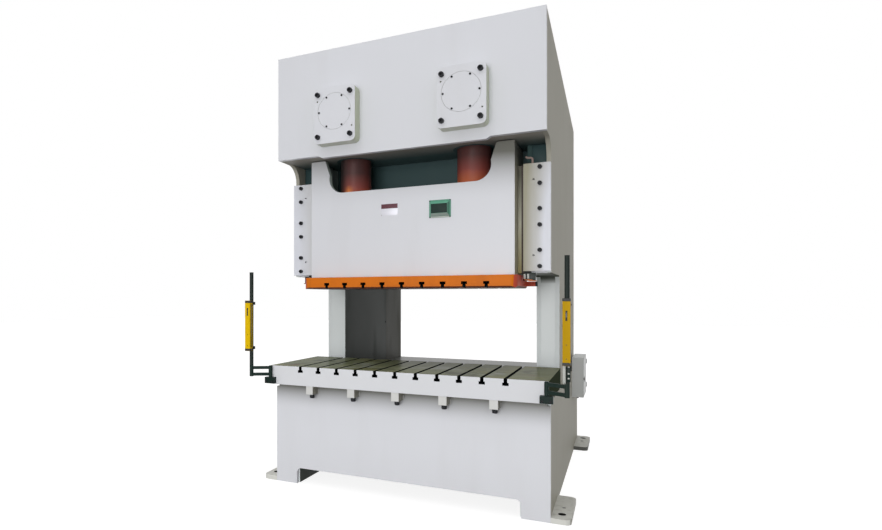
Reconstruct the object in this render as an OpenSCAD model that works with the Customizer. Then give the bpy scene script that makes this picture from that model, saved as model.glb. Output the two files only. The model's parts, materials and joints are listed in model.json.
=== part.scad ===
// Gap-frame (C-frame) two-point servo press with T-slotted bolster.
// Origin: on the floor, at the centre of the four anchor holes. +X to the operator's right,
// +Y to the back of the machine, +Z up. All sizes in millimetres.

/* [Frame] */
// Width of the upper frame over the outer faces of the side plates
frame_w = 2640; // [2400:10:3000]
// Height of the crown at its front edge
frame_h = 4400; // [4200:10:4800]
// Fall of the crown's roof from the front edge to the back
roof_fall = 275; // [150:5:320]
// Thickness of the outer side plates
side_t = 40; // [30:1:50]
// Thickness of the inner column plates
inner_t = 40; // [30:1:50]
// Width of a column's front face, from its inner plate to the outer face of the side plate
column_w = 223; // [200:1:260]
// Distance from the slide's centre line to the front of the columns
throat_depth = 770; // [700:5:900]
// Distance from the slide's centre line to the back of the columns
frame_back = 2800; // [2500:10:3000]
// Radius of the throat's upper corner
throat_r = 90; // [60:5:300]
// Radius where the side plate turns into the crown's overhang
brow_r = 170; // [100:5:200]
// Height of the upper jaw's lower edge above the floor
jaw_z = 2143; // [2100:1:2170]

/* [Crown] */
// Distance from the slide's centre line to the crown's front face
crown_front = 423; // [400:1:480]
// Height of the crown's lower edge above the floor
crown_z = 3343; // [3300:1:3400]
// Drop of the middle part of the crown's front plate below its ends
crown_step = 22; // [0:1:22]
// Half length of the lowered middle part
crown_step_half = 855; // [800:5:950]
// Thickness of the crown's front plate
crown_plate_t = 50; // [40:1:60]
// Thickness of the crown's floor and bearing walls
crown_wall_t = 40; // [30:1:50]
// Thickness of the crown's roof plate
roof_t = 30; // [20:1:40]

/* [Base] */
// How far the base's outer side plates stand out past the frame's side plates
base_out = 30; // [20:1:200]
// Length of the base, front to back
base_l = 3400; // [3300:10:3700]
// Height of the bed that carries the bolster
bed_z = 1030; // [900:5:1100]
// Thickness of the bed plate
bed_t = 40; // [30:1:60]
// Thickness of the base's front plate
base_plate_t = 40; // [30:1:50]
// Height of the arch cut under the base's front plate
arch_h = 160; // [100:5:240]
// Width of the arch
arch_w = 2220; // [2000:10:2300]
// Radius of the arch's upper corners
arch_r = 50; // [20:5:80]

/* [Feet] */
// How far a foot plate stands out of the base
foot_w = 162; // [140:1:200]
// Length of a foot plate
foot_l = 660; // [500:10:800]
// Thickness of a foot plate
foot_t = 45; // [30:1:60]
// Distance of an anchor hole from the base's outer face
anchor_out = 80; // [70:1:90]
// Distance of an anchor hole from the end of the base
anchor_in = 135; // [100:1:200]
// Diameter of an anchor hole
anchor_d = 66; // [40:1:70]
// Diameter of a levelling screw
jack_d = 36; // [24:1:42]
// Distance of a levelling screw behind its anchor hole
jack_gap = 185; // [120:5:240]

/* [Bolster] */
// Length of the bolster, side to side
bolster_w = 2700; // [2500:10:2900]
// Depth of the bolster, front to back
bolster_d = 1060; // [900:10:1100]
// Thickness of the bolster
bolster_t = 190; // [150:5:230]
// Distance between T-slots
slot_pitch = 200; // [180:5:210]
// Number of T-slots in the bolster
bolster_slots = 11; // [7:2:11]
// Number of T-slots in the slide plate
slide_slots = 9; // [5:2:9]
// Width of a T-slot's neck
slot_w = 30; // [22:1:36]
// Width of a T-slot's head
slot_head_w = 54; // [46:1:60]
// Height of a T-slot's head
slot_head_h = 26; // [18:1:32]
// Full depth of a T-slot
slot_depth = 60; // [48:1:70]
// Distance between the lugs that hold the bolster down
lug_pitch = 450; // [350:10:500]
// Width of a lug
lug_w = 75; // [60:1:90]
// Height of a lug
lug_h = 82; // [60:1:100]
// Diameter of a lug's bolt
lug_bolt_d = 30; // [20:1:36]

/* [Slide] */
// Stroke of the slide
stroke = 250; // [160:10:250]
// Travel of the die height adjustment
height_adjust = 120; // [80:10:120]
// Height of the slide's lower face over the bolster at the top of the stroke
daylight = 785; // [700:5:785]
// Width of the slide's body
slide_w = 2060; // [1900:10:2100]
// Distance from the slide's centre line to its front face
slide_front = 227; // [200:1:240]
// Distance from the slide's centre line to its back face
slide_back = 300; // [240:5:340]
// Height of the slide's body, without its ears
slide_h = 830; // [780:5:870]
// Thickness of the slide's walls
slide_wall = 60; // [40:1:80]
// Width of the slide plate
slide_plate_w = 2132; // [2110:2:2160]
// Depth of the slide plate
slide_plate_d = 676; // [600:2:740]
// Thickness of the slide plate
slide_plate_t = 115; // [90:1:130]
// Chamfer round the slide plate's lower edge
plate_edge = 15; // [5:1:25]
// Height of the cut-out's lower edge above the slide plate
cut_z = 873; // [860:1:900]
// Half width of the cut-out's flat lower edge
cut_half = 665; // [600:5:700]
// Half width of the cut-out where its slanted sides start
cut_side = 805; // [780:5:830]
// Half width of the cut-out at the top of the ears
cut_top = 870; // [850:5:900]

/* [Guides] */
// Distance from the slide's centre line to the gib plates' front face
gib_front = 90; // [80:1:100]
// Thickness of a gib plate
gib_t = 50; // [40:1:60]
// Length of a gib plate
gib_l = 981; // [940:1:990]
// Width of a gib plate
gib_w = 236; // [225:1:250]
// Thickness of the bronze liners
liner_t = 10; // [6:1:12]
// Running clearance between guide rails and liners
guide_gap = 0.3; // [0.2:0.1:0.6]
// Diameter of a gib bolt
gib_bolt_d = 24; // [16:1:30]
// Short distance between gib bolts
gib_step_short = 147; // [120:1:150]
// Long distance between gib bolts
gib_step_long = 229; // [200:1:235]

/* [Drive] */
// Height of the crankshafts' axes
crank_z = 3735; // [3700:5:3740]
// Distance of each crankshaft's axis from the middle
crank_x = 620; // [620:10:640]
// Radius of the crankshafts' journals
journal_r = 110; // [90:1:120]
// Wall of the bronze bushes
bush_wall = 40; // [25:1:45]
// Radial running clearance of shafts in their bushes
running_gap = 0.06; // [0.03:0.01:0.1]
// Centre distance of a connecting rod
rod_l = 420; // [400:5:425]
// Width of a connecting rod's big end
rod_w = 180; // [140:2:190]
// Radius of a plunger
plunger_r = 160; // [150:1:175]
// Radius of a wrist pin
wrist_r = 60; // [45:1:65]
// Radius of an adjusting screw
screw_r = 95; // [70:1:100]
// Module of all gears
gear_module = 10; // [10:1:10]
// Teeth of a main gear
main_teeth = 88; // [88:2:88]
// Teeth of the drive gear
drive_teeth = 60; // [50:2:60]
// Teeth of the motor's pinion
motor_teeth = 18; // [16:2:20]
// Radius of the motor's housing
motor_r = 230; // [180:5:240]
// Length of the motor's housing
motor_l = 640; // [500:10:800]

/* [Bearing covers] */
// Width of a bearing cover
cover_w = 444; // [420:2:480]
// Height of a bearing cover
cover_h = 545; // [520:1:600]
// How far a bearing cover stands out of the crown
cover_t = 118; // [80:1:130]
// Corner radius of a bearing cover
cover_r = 48; // [20:1:60]
// Height of the crank axis above a cover's middle
cover_rise = 34; // [20:1:40]
// Radius of the round cap in a cover
cap_r = 176; // [170:1:180]
// Diameter of a cover bolt
cover_bolt_d = 30; // [20:1:36]

/* [Light curtain] */
// Distance of a curtain post from the middle
post_x = 1500; // [1480:5:1600]
// Distance from the slide's centre line to a curtain post
post_front = 655; // [620:5:700]
// Diameter of a post's round tube
post_w = 40; // [30:1:50]
// Height of the left post's top above the floor
post_top = 2170; // [2100:5:2400]
// How much higher the right post reaches
post_rise = 80; // [0:5:120]
// Height of a sensor's lower end above the floor
sensor_z = 1375; // [1350:5:1450]
// Length of a sensor
sensor_l = 511; // [400:1:520]
// Width of a sensor
sensor_w = 58; // [45:1:70]
// Depth of a sensor
sensor_d = 48; // [40:1:60]

/* [Cabinet] */
// Length of the electrical cabinet
cabinet_l = 560; // [400:10:900]
// Height of the cabinet
cabinet_h = 480; // [400:5:600]
// Depth of the cabinet
cabinet_d = 125; // [100:5:160]
// Thickness of the cabinet's sheet
sheet_t = 4; // [3:0.5:6]
// Height of the cabinet's lower edge above the floor
cabinet_z = 710; // [500:5:720]
// Distance from the cabinet to the back end of the base
cabinet_back = 400; // [30:10:600]

/* [Hidden] */
$fn = 64;

// Paint and metal colours
paint = [0.84, 0.85, 0.87];
dark_green = [0.14, 0.21, 0.2];
orange = [0.87, 0.47, 0.12];
red_lead = [0.72, 0.33, 0.2];
steel = [0.6, 0.61, 0.62];
bronze = [0.6, 0.48, 0.26];
black = [0.14, 0.14, 0.16];
yellow = [0.88, 0.74, 0.12];
bright_green = [0.37, 0.68, 0.53];

// Derived places along Y
base_y0 = -base_l / 2;
base_y1 = base_l / 2;
slide_y = base_y0 + 400;
crown_y0 = slide_y - crown_front;
crown_y1 = crown_y0 + crown_plate_t;
jaw_y = slide_y - gib_front + gib_t;
column_y = slide_y + throat_depth;
back_y = slide_y + frame_back;
inner_jaw_y = slide_y + 90;
wall_front_y = slide_y + 320;
gear_y = slide_y + 500;
gear_w = 160;
wall_rear_y = slide_y + 700;
drive_gear_y = slide_y + 790;
drive_gear_w = 100;
case_y = slide_y + 960;
roof_seat = 0.1;

// Derived places along X and Z
side_x = frame_w / 2 - side_t;
inner_x = frame_w / 2 - column_w;
base_x = frame_w / 2 + base_out;
bolster_z = bed_z + bolster_t;
plate_z = bolster_z + daylight;
body_z = plate_z + slide_plate_t;
deck_z = body_z + slide_h;
ear_z = crown_z - 8;
pin_z = crank_z + stroke / 2;
wrist_z = pin_z - rod_l;
floor_z = crown_z + 2;
case_z = crank_z - 520;
throw = stroke / 2;
bush_r = journal_r + bush_wall;
shaft_r = 70;
shaft_bush_r = 90;
bolt_play = 0.5;
anchor_x = base_x + anchor_out;
anchor_y = base_l / 2 - anchor_in;

// Height of the roof's upper face at a place along Y
function roof_z(y) = frame_h - roof_fall * (y - crown_y0) / (back_y - crown_y0);

// Height of the plates that stand under the roof, at a place along Y
function eaves_z(y) = roof_z(y) - roof_t - roof_seat;

// A box between two corners
module block(low, high) {
    translate(low) cube(high - low);
}

// A Y-Z outline extruded along X
module along_x(x0, x1) {
    translate([x0, 0, 0]) rotate([90, 0, 90]) linear_extrude(x1 - x0) children();
}

// An X-Z outline extruded along Y
module along_y(y0, y1) {
    translate([0, y1, 0]) rotate([90, 0, 0]) linear_extrude(y1 - y0) children();
}

// A cylinder along Y
module rod_y(x, z, r, y0, y1) {
    translate([x, y1, z]) rotate([90, 0, 0]) cylinder(r = r, h = y1 - y0);
}

// Children once at the left and once, mirrored, at the right
module both_sides() {
    children();
    mirror([1, 0, 0]) children();
}

// Rectangle with rounded corners, centred
module rounded(w, h, r) {
    square([w - 2 * r, h], center = true);
    square([w, h - 2 * r], center = true);
    for (sx = [-1, 1], sy = [-1, 1])
        translate([sx * (w / 2 - r), sy * (h / 2 - r)]) circle(r);
}

// Fill of an inside corner at the origin, open towards +X and +Y
module corner_fill(r) {
    difference() {
        square(r);
        translate([r, r]) circle(r);
    }
}

// Socket head screw along Z, head seated at z = 0 and shank below
module socket_screw(d, head_d, head_h, shank_l) {
    difference() {
        cylinder(d = head_d, h = head_h);
        translate([0, 0, head_h * 0.4]) cylinder(d = head_d * 0.55, h = head_h, $fn = 6);
    }
    translate([0, 0, -shank_l]) cylinder(d = d, h = shank_l + 1);
}

// The same screw, pointing into the machine along +Y
module screw_in(x, y, z, d, head_d, head_h, shank_l) {
    translate([x, y, z]) rotate([90, 0, 0]) socket_screw(d, head_d, head_h, shank_l);
}

// Gear outline with simple straight-flanked teeth; a tooth points along +X when turn = 0
module gear_outline(teeth, turn) {
    pitch_r = gear_module * teeth / 2;
    tip_r = pitch_r + 0.85 * gear_module;
    root_r = pitch_r - 1.15 * gear_module;
    step = 360 / teeth;
    polygon([for (i = [0 : teeth - 1], p = [[root_r, -0.31], [tip_r, -0.12], [tip_r, 0.12], [root_r, 0.31]])
        p[0] * [cos(turn + step * (i + p[1])), sin(turn + step * (i + p[1]))]]);
}

// ---------------------------------------------------------------- frame

// Outline of the inside of the C, shared by side and inner plates
module c_outline(front_y, nose_y) {
    polygon([[front_y, 0], [back_y, 0], [back_y, roof_z(back_y)], [nose_y, roof_z(nose_y)],
        [nose_y, crown_z], [jaw_y, crown_z], [jaw_y, jaw_z], [column_y, jaw_z],
        [column_y, bed_z - bed_t], [front_y, bed_z - bed_t]]);
    translate([jaw_y, crown_z]) rotate(180) corner_fill(brow_r);
    translate([column_y, jaw_z]) rotate(180) corner_fill(throat_r);
}

module side_plate() {
    along_x(side_x, frame_w / 2) c_outline(base_y0 + base_plate_t, crown_y1);
}

module inner_outline() {
    polygon([[base_y0 + base_plate_t, 0], [back_y, 0], [back_y, eaves_z(back_y)],
        [inner_jaw_y, eaves_z(inner_jaw_y)], [inner_jaw_y, jaw_z], [column_y, jaw_z],
        [column_y, bed_z - bed_t], [base_y0 + base_plate_t, bed_z - bed_t]]);
    translate([column_y, jaw_z]) rotate(180) corner_fill(throat_r);
}

module inner_plate() {
    along_x(inner_x, inner_x + inner_t) inner_outline();
}

module throat_outline() {
    plate_t = 40;
    centre = [column_y - throat_r, jaw_z - throat_r];
    translate([inner_jaw_y, jaw_z]) square([column_y - throat_r - inner_jaw_y, plate_t]);
    translate([column_y, bed_z]) square([plate_t, jaw_z - throat_r - bed_z]);
    translate(centre) intersection() {
        difference() {
            circle(throat_r + plate_t);
            circle(throat_r);
        }
        square(throat_r + plate_t);
    }
}

module throat_plates() {
    color(paint) both_sides() along_x(inner_x + inner_t, side_x) throat_outline();
}

module column_backs() {
    color(paint) both_sides() block([inner_x + inner_t, back_y - 30, 0],
        [side_x, back_y, eaves_z(back_y)]);
}

module crown_front_outline() {
    x1 = frame_w / 2;
    polygon([[-x1, crown_z], [-crown_step_half, crown_z], [-crown_step_half + 40, crown_z - crown_step],
        [crown_step_half - 40, crown_z - crown_step], [crown_step_half, crown_z], [x1, crown_z],
        [x1, frame_h], [-x1, frame_h]]);
}

module crown_front_plate() {
    color(paint) difference() {
        along_y(crown_y0, crown_y1) crown_front_outline();
        for (s = [-1, 1]) {
            rod_y(s * crank_x, crank_z, bush_r + running_gap, crown_y0 - 1, crown_y1 + 1);
            cover_bolt_holes(s, crown_y0 - 1, crown_y0 + 36);
        }
    }
}

module crown_roof() {
    color(paint) along_x(-side_x, side_x) polygon([[crown_y1, roof_z(crown_y1) - roof_t],
        [back_y, roof_z(back_y) - roof_t], [back_y, roof_z(back_y)], [crown_y1, roof_z(crown_y1)]]);
}

module crown_floor() {
    z1 = floor_z + crown_wall_t;
    color(dark_green) difference() {
        union() {
            block([-side_x, crown_y1, floor_z], [side_x, inner_jaw_y, z1]);
            block([-inner_x, inner_jaw_y - 1, floor_z], [inner_x, wall_front_y, z1]);
        }
        for (s = [-1, 1]) {
            translate([s * crank_x, slide_y, floor_z - 1])
                cylinder(r = plunger_r + bush_wall + running_gap, h = crown_wall_t + 2);
            translate([s * balancer_x, balancer_y, floor_z - 1])
                cylinder(r = balancer_rod_r + 12, h = crown_wall_t + 2);
        }
    }
}

module bearing_wall(y0, z0) {
    difference() {
        along_x(-inner_x, inner_x) polygon([[y0, z0], [y0 + crown_wall_t, z0],
            [y0 + crown_wall_t, eaves_z(y0 + crown_wall_t)], [y0, eaves_z(y0)]]);
        for (s = [-1, 1])
            rod_y(s * crank_x, crank_z, bush_r + running_gap, y0 - 1, y0 + crown_wall_t + 1);
        rod_y(0, crank_z, shaft_bush_r + running_gap, y0 - 1, y0 + crown_wall_t + 1);
    }
}

module bearing_wall_front() {
    color(dark_green) bearing_wall(wall_front_y, jaw_z);
}

module bearing_wall_rear() {
    color(paint) bearing_wall(wall_rear_y, case_z + 30);
}

// Pan and back wall that close the gear case
module gear_case() {
    case_top = crank_z + 430;
    wall_t = 40;
    motor_x = gear_module * (drive_teeth + motor_teeth) / 2;
    color(paint) difference() {
        union() {
            block([-inner_x, wall_front_y + crown_wall_t, case_z], [inner_x, case_y + wall_t, case_z + 30]);
            block([-inner_x, case_y, case_z + 29], [inner_x, case_y + wall_t, case_top]);
        }
        rod_y(0, crank_z, shaft_bush_r + running_gap, case_y - 1, case_y + wall_t + 1);
        rod_y(motor_x, crank_z, motor_shaft_r + 4, case_y - 1, case_y + wall_t + 1);
    }
}

module rear_cover() {
    z0 = 2980;
    z1 = eaves_z(back_y);
    louvre_w = 620;
    color(paint) difference() {
        block([-inner_x, back_y - 20, z0], [inner_x, back_y, z1]);
        for (s = [-1, 1], i = [0 : 7])
            block([s * 520 - louvre_w / 2, back_y - 30, z0 + 300 + 70 * i],
                [s * 520 + louvre_w / 2, back_y + 1, z0 + 326 + 70 * i]);
    }
}

// ---------------------------------------------------------------- base

module base_front_plate() {
    color(paint) along_y(base_y0, base_y0 + base_plate_t) difference() {
        translate([-base_x, 0]) square([2 * base_x, bed_z - bed_t]);
        translate([-arch_w / 2, -1]) square([arch_w, arch_h - arch_r + 1]);
        translate([-arch_w / 2 + arch_r, -1]) square([arch_w - 2 * arch_r, arch_h + 1]);
        for (s = [-1, 1])
            translate([s * (arch_w / 2 - arch_r), arch_h - arch_r]) circle(arch_r);
    }
}

module base_side_plates() {
    corner = 60;
    color(paint) both_sides() along_x(frame_w / 2, base_x) {
        translate([base_y0 + base_plate_t, 0]) square([base_l - base_plate_t, bed_z - 10 - corner]);
        translate([base_y0 + base_plate_t + corner, 0])
            square([base_l - base_plate_t - 2 * corner, bed_z - 10]);
        for (y = [base_y0 + base_plate_t + corner, base_y1 - corner])
            translate([y, bed_z - 10 - corner]) circle(corner);
    }
}

module bed_plate() {
    color(paint) {
        block([-frame_w / 2, base_y0, bed_z - bed_t], [frame_w / 2, column_y, bed_z]);
        block([-inner_x, column_y - 1, bed_z - bed_t], [inner_x, back_y, bed_z]);
    }
}

module base_rear_plate() {
    color(paint) difference() {
        block([-frame_w / 2, back_y, 0], [frame_w / 2, base_y1, bed_z - 30]);
        block([-inner_x, back_y - 1, -1], [inner_x, base_y1 - 30, bed_z - 70]);
    }
}

// ---------------------------------------------------------------- feet

module foot_outline() {
    corner = 55;
    difference() {
        union() {
            translate([base_x, base_y0]) square([foot_w - corner, foot_l]);
            translate([base_x, base_y0 + corner]) square([foot_w, foot_l - 2 * corner]);
            for (y = [base_y0 + corner, base_y0 + foot_l - corner])
                translate([base_x + foot_w - corner, y]) circle(corner);
        }
        translate([anchor_x, -anchor_y]) circle(d = anchor_d);
        translate([anchor_x, -anchor_y + jack_gap]) circle(d = jack_d + 1);
    }
}

module foot_plates() {
    color(paint) both_sides() {
        linear_extrude(foot_t) foot_outline();
        mirror([0, 1, 0]) linear_extrude(foot_t) foot_outline();
    }
}

module jack_screws() {
    socket_d = jack_d * 0.55;
    color(black) for (sx = [-1, 1], sy = [-1, 1])
        translate([sx * anchor_x, sy * (anchor_y - jack_gap), 0]) difference() {
            cylinder(d = jack_d, h = foot_t - 5);
            translate([0, 0, foot_t - 23]) cylinder(d = socket_d, h = 24, $fn = 6);
        }
}

// ---------------------------------------------------------------- bolster

// T-slot outline with its mouth at z = 0, opening downwards
module slot_outline() {
    translate([-slot_w / 2, -1]) square([slot_w, slot_depth]);
    translate([-slot_head_w / 2, slot_depth - slot_head_h]) square([slot_head_w, slot_head_h]);
}

module bolster() {
    y0 = slide_y - bolster_d / 2;
    color(steel) difference() {
        along_y(y0, y0 + bolster_d) difference() {
            translate([-bolster_w / 2, bed_z]) square([bolster_w, bolster_t]);
            for (i = [0 : bolster_slots - 1])
                translate([(i - (bolster_slots - 1) / 2) * slot_pitch, bolster_z])
                    rotate(180) slot_outline();
        }
        for (i = [-2 : 2])
            translate([i * lug_pitch, lug_bolt_y, bed_z - 1])
                cylinder(d = lug_bolt_d + 2 * bolt_play, h = 61);
    }
}

lug_y0 = slide_y - bolster_d / 2 + 5;
lug_bolt_y = (lug_y0 + base_y0) / 2;
module bolster_lugs() {
    color(paint) for (i = [-2 : 2])
        difference() {
            block([i * lug_pitch - lug_w / 2, lug_y0, bed_z - lug_h],
                [i * lug_pitch + lug_w / 2, base_y0, bed_z]);
            translate([i * lug_pitch, lug_bolt_y, bed_z - lug_h - 1])
                cylinder(d = lug_bolt_d + 2 * bolt_play, h = lug_h + 2);
        }
}

module lug_bolts() {
    color(black) for (i = [-2 : 2])
        translate([i * lug_pitch, lug_bolt_y, bed_z - lug_h])
            mirror([0, 0, 1]) socket_screw(lug_bolt_d, lug_bolt_d * 1.5, lug_bolt_d, lug_h + 50);
}

// ---------------------------------------------------------------- guides

gib_z1 = jaw_z + 14 + gib_l;
gib_z0 = jaw_z + 14;
gib_x0 = frame_w / 2 - gib_w;
gib_bolt_x = frame_w / 2 - 92;
gib_pin_x = frame_w / 2 - 148;
seat_x = gib_x0 + 66;
rail_x = seat_x - liner_t - guide_gap;
rail_y0 = jaw_y + liner_t + guide_gap;
rail_y1 = inner_jaw_y - liner_t - guide_gap;
gib_bolt_z = [for (i = [0 : 5]) gib_z1 - 39 - gib_step_short * [0, 1, 1, 2, 2, 3][i]
    - gib_step_long * [0, 0, 1, 1, 2, 2][i]];

module gib_plate() {
    difference() {
        block([gib_x0, jaw_y - gib_t, gib_z0], [frame_w / 2, jaw_y, gib_z1]);
        for (z = gib_bolt_z)
            rod_y(gib_bolt_x, z, gib_bolt_d / 2 + bolt_play, jaw_y - gib_t - 1, jaw_y + 1);
        for (z = [gib_z1 - 146, gib_z0 + 144])
            rod_y(gib_pin_x, z, 8, jaw_y - gib_t - 1, jaw_y - gib_t + 30);
    }
}

module gib_seats() {
    color(paint) both_sides() difference() {
        block([seat_x, jaw_y, jaw_z], [side_x, inner_jaw_y, gib_z1]);
        for (z = gib_bolt_z)
            rod_y(gib_bolt_x, z, gib_bolt_d / 2 + bolt_play, jaw_y - 1, jaw_y + 60);
    }
}

module gib_liners() {
    color(bronze) both_sides() {
        block([gib_x0, jaw_y, gib_z0], [seat_x - liner_t, jaw_y + liner_t, gib_z1]);
        block([seat_x - liner_t, jaw_y, gib_z0], [seat_x, inner_jaw_y - liner_t, gib_z1]);
        block([inner_x, inner_jaw_y - liner_t, gib_z0], [seat_x, inner_jaw_y, gib_z1]);
    }
}

module gib_bolts() {
    color(black) both_sides() for (z = gib_bolt_z)
        screw_in(gib_bolt_x, jaw_y - gib_t, z, gib_bolt_d, gib_bolt_d * 1.6, gib_bolt_d, gib_t + 50);
}

module guide_rails() {
    z0 = body_z + 20;
    color(steel) both_sides() block([slide_w / 2, rail_y0, z0], [rail_x, rail_y1, ear_z - 200]);
}

// ---------------------------------------------------------------- bearing covers

cover_z = crank_z - cover_rise;
cover_y = crown_y0 - cover_t;
cap_t = 25;
cover_bolt_x = 173;
cover_bolt_z = 207;
cap_screw_r = cap_r - 13;

module cover_bolt_holes(s, y0, y1) {
    for (sx = [-1, 1], sz = [-1, 1])
        rod_y(s * crank_x + sx * cover_bolt_x, cover_z + sz * cover_bolt_z,
            cover_bolt_d / 2 + bolt_play, y0, y1);
}

module bearing_cover(s) {
    difference() {
        translate([s * crank_x, 0, cover_z]) along_y(cover_y, crown_y0) rounded(cover_w, cover_h, cover_r);
        rod_y(s * crank_x, crank_z, bush_r + running_gap, cover_y + cap_t - 1, crown_y0 + 1);
        rod_y(s * crank_x, crank_z, cap_r + 1.5, cover_y - 1, cover_y + cap_t);
        cover_bolt_holes(s, cover_y - 1, crown_y0 + 1);
        for (d = [[-182, 78], [187, -195]])
            rod_y(s * crank_x + d[0], crank_z + d[1] + cover_rise, 8, cover_y - 1, cover_y + 30);
    }
}

module cover_caps() {
    color(paint) for (s = [-1, 1]) difference() {
        rod_y(s * crank_x, crank_z, cap_r, cover_y, cover_y + cap_t);
        for (i = [0 : 5])
            rod_y(s * crank_x + cap_screw_r * cos(60 * i), crank_z + cap_screw_r * sin(60 * i), 6.5,
                cover_y - 1, cover_y + cap_t + 1);
    }
}

module cover_bolts() {
    color(black) for (s = [-1, 1], sx = [-1, 1], sz = [-1, 1])
        screw_in(s * crank_x + sx * cover_bolt_x, cover_y, cover_z + sz * cover_bolt_z,
            cover_bolt_d, cover_bolt_d * 1.55, cover_bolt_d, cover_t + 34);
}

module cap_screws() {
    color(black) for (s = [-1, 1], i = [0 : 5])
        screw_in(s * crank_x + cap_screw_r * cos(60 * i), cover_y,
            crank_z + cap_screw_r * sin(60 * i), 12, 19, 5, cap_t - 1);
}

// ---------------------------------------------------------------- drive

// Bush around an axis along Y
module bush_y(x, r_in, r_out, y0, y1) {
    difference() {
        rod_y(x, crank_z, r_out, y0, y1);
        rod_y(x, crank_z, r_in, y0 - 1, y1 + 1);
    }
}

module bearing_bushes() {
    color(bronze) {
        for (s = [-1, 1]) {
            bush_y(s * crank_x, journal_r + running_gap, bush_r, cover_y + cap_t, crown_y1);
            for (y = [wall_front_y, wall_rear_y])
                bush_y(s * crank_x, journal_r + running_gap, bush_r, y, y + crown_wall_t);
        }
        for (y = [wall_front_y, wall_rear_y])
            bush_y(0, shaft_r + running_gap, shaft_bush_r, y, y + crown_wall_t);
        bush_y(0, shaft_r + running_gap, shaft_bush_r, case_y, case_y + 40);
    }
}

web_t = 110;
pin_gap = 1;
pin_half = rod_w / 2 + 10;
module crank_web(s, y0) {
    rod_y(s * crank_x, crank_z, 190, y0, y0 + web_t);
    rod_y(s * crank_x, pin_z, 165, y0, y0 + web_t);
    block([s * crank_x - 165, y0, crank_z], [s * crank_x + 165, y0 + web_t, pin_z]);
}

module crankshaft(s) {
    front = slide_y - pin_half - pin_gap;
    back = slide_y + pin_half + pin_gap;
    rod_y(s * crank_x, crank_z, journal_r, cover_y + cap_t + 5, front);
    crank_web(s, front - web_t);
    crank_web(s, back);
    rod_y(s * crank_x, crank_z, journal_r, back + web_t - 1, wall_rear_y + crown_wall_t + 20);
}

module crank_pins() {
    color(steel) for (s = [-1, 1])
        rod_y(s * crank_x, pin_z, journal_r, slide_y - pin_half, slide_y + pin_half);
}

module connecting_rods() {
    small_w = 140;
    color(red_lead) for (s = [-1, 1]) difference() {
        union() {
            rod_y(s * crank_x, pin_z, journal_r + 85, slide_y - rod_w / 2, slide_y + rod_w / 2);
            rod_y(s * crank_x, wrist_z, wrist_r + 34, slide_y - small_w / 2, slide_y + small_w / 2);
            block([s * crank_x - 60, slide_y - small_w / 2, wrist_z],
                [s * crank_x + 60, slide_y + small_w / 2, pin_z]);
        }
        rod_y(s * crank_x, pin_z, journal_r + running_gap, slide_y - rod_w, slide_y + rod_w);
        rod_y(s * crank_x, wrist_z, wrist_r + running_gap, slide_y - rod_w, slide_y + rod_w);
    }
}

module wrist_pins() {
    color(steel) for (s = [-1, 1])
        rod_y(s * crank_x, wrist_z, wrist_r, slide_y - 135, slide_y + 135);
}

plunger_top = wrist_z + 100;
module plungers() {
    color(red_lead) for (s = [-1, 1]) translate([s * crank_x, slide_y, 0]) difference() {
        union() {
            translate([0, 0, deck_z + 6]) cylinder(r = plunger_r, h = plunger_top - deck_z - 6);
            translate([0, 0, deck_z - 440]) cylinder(r = screw_r, h = 447);
        }
        translate([0, 0, wrist_z - 105]) cylinder(r = plunger_r - 34, h = plunger_top);
        translate([0, plunger_r, wrist_z]) rotate([90, 0, 0])
            cylinder(r = wrist_r + running_gap, h = 2 * plunger_r);
    }
}

module plunger_bushes() {
    color(bronze) for (s = [-1, 1]) translate([s * crank_x, slide_y, floor_z]) difference() {
        union() {
            cylinder(r = plunger_r + bush_wall, h = 85);
            translate([0, 0, crown_wall_t]) cylinder(r = plunger_r + bush_wall + 30, h = 24);
        }
        translate([0, 0, -1]) cylinder(r = plunger_r + running_gap, h = 200);
    }
}

// Main gear with a hub, a rim and round holes in its web
module main_gear(s) {
    pitch_r = gear_module * main_teeth / 2;
    mid_r = (pitch_r + journal_r) / 2 + 15;
    translate([s * crank_x, 0, crank_z]) difference() {
        along_y(gear_y, gear_y + gear_w) gear_outline(main_teeth, 0);
        rod_y(0, 0, journal_r + running_gap, gear_y - 1, gear_y + gear_w + 1);
        for (i = [0 : 5])
            rod_y(mid_r * cos(60 * i), mid_r * sin(60 * i), 62, gear_y - 1, gear_y + gear_w + 1);
    }
}

pinion_teeth = 2 * crank_x / gear_module - main_teeth;
module drive_shaft() {
    color(steel) {
        rod_y(0, crank_z, shaft_r, wall_front_y - 10, case_y + 60);
        translate([0, 0, crank_z]) along_y(gear_y - 5, gear_y + gear_w + 5)
            gear_outline(pinion_teeth, 180 / pinion_teeth);
    }
}

module drive_gear() {
    pitch_r = gear_module * drive_teeth / 2;
    color(steel) translate([0, 0, crank_z]) difference() {
        along_y(drive_gear_y, drive_gear_y + drive_gear_w) gear_outline(drive_teeth, 0);
        rod_y(0, 0, shaft_r + running_gap, drive_gear_y - 1, drive_gear_y + drive_gear_w + 1);
        for (i = [0 : 5])
            rod_y((pitch_r + shaft_r) / 2 * cos(60 * i), (pitch_r + shaft_r) / 2 * sin(60 * i), 45,
                drive_gear_y - 1, drive_gear_y + drive_gear_w + 1);
    }
}

motor_x = gear_module * (drive_teeth + motor_teeth) / 2;
motor_shaft_r = 50;
module motor_shaft() {
    color(steel) translate([motor_x, 0, crank_z]) {
        rod_y(0, 0, motor_shaft_r, drive_gear_y - 20, case_y + motor_l - 40);
        along_y(drive_gear_y - 5, drive_gear_y + drive_gear_w + 5)
            gear_outline(motor_teeth, 180 / motor_teeth);
    }
}

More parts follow.
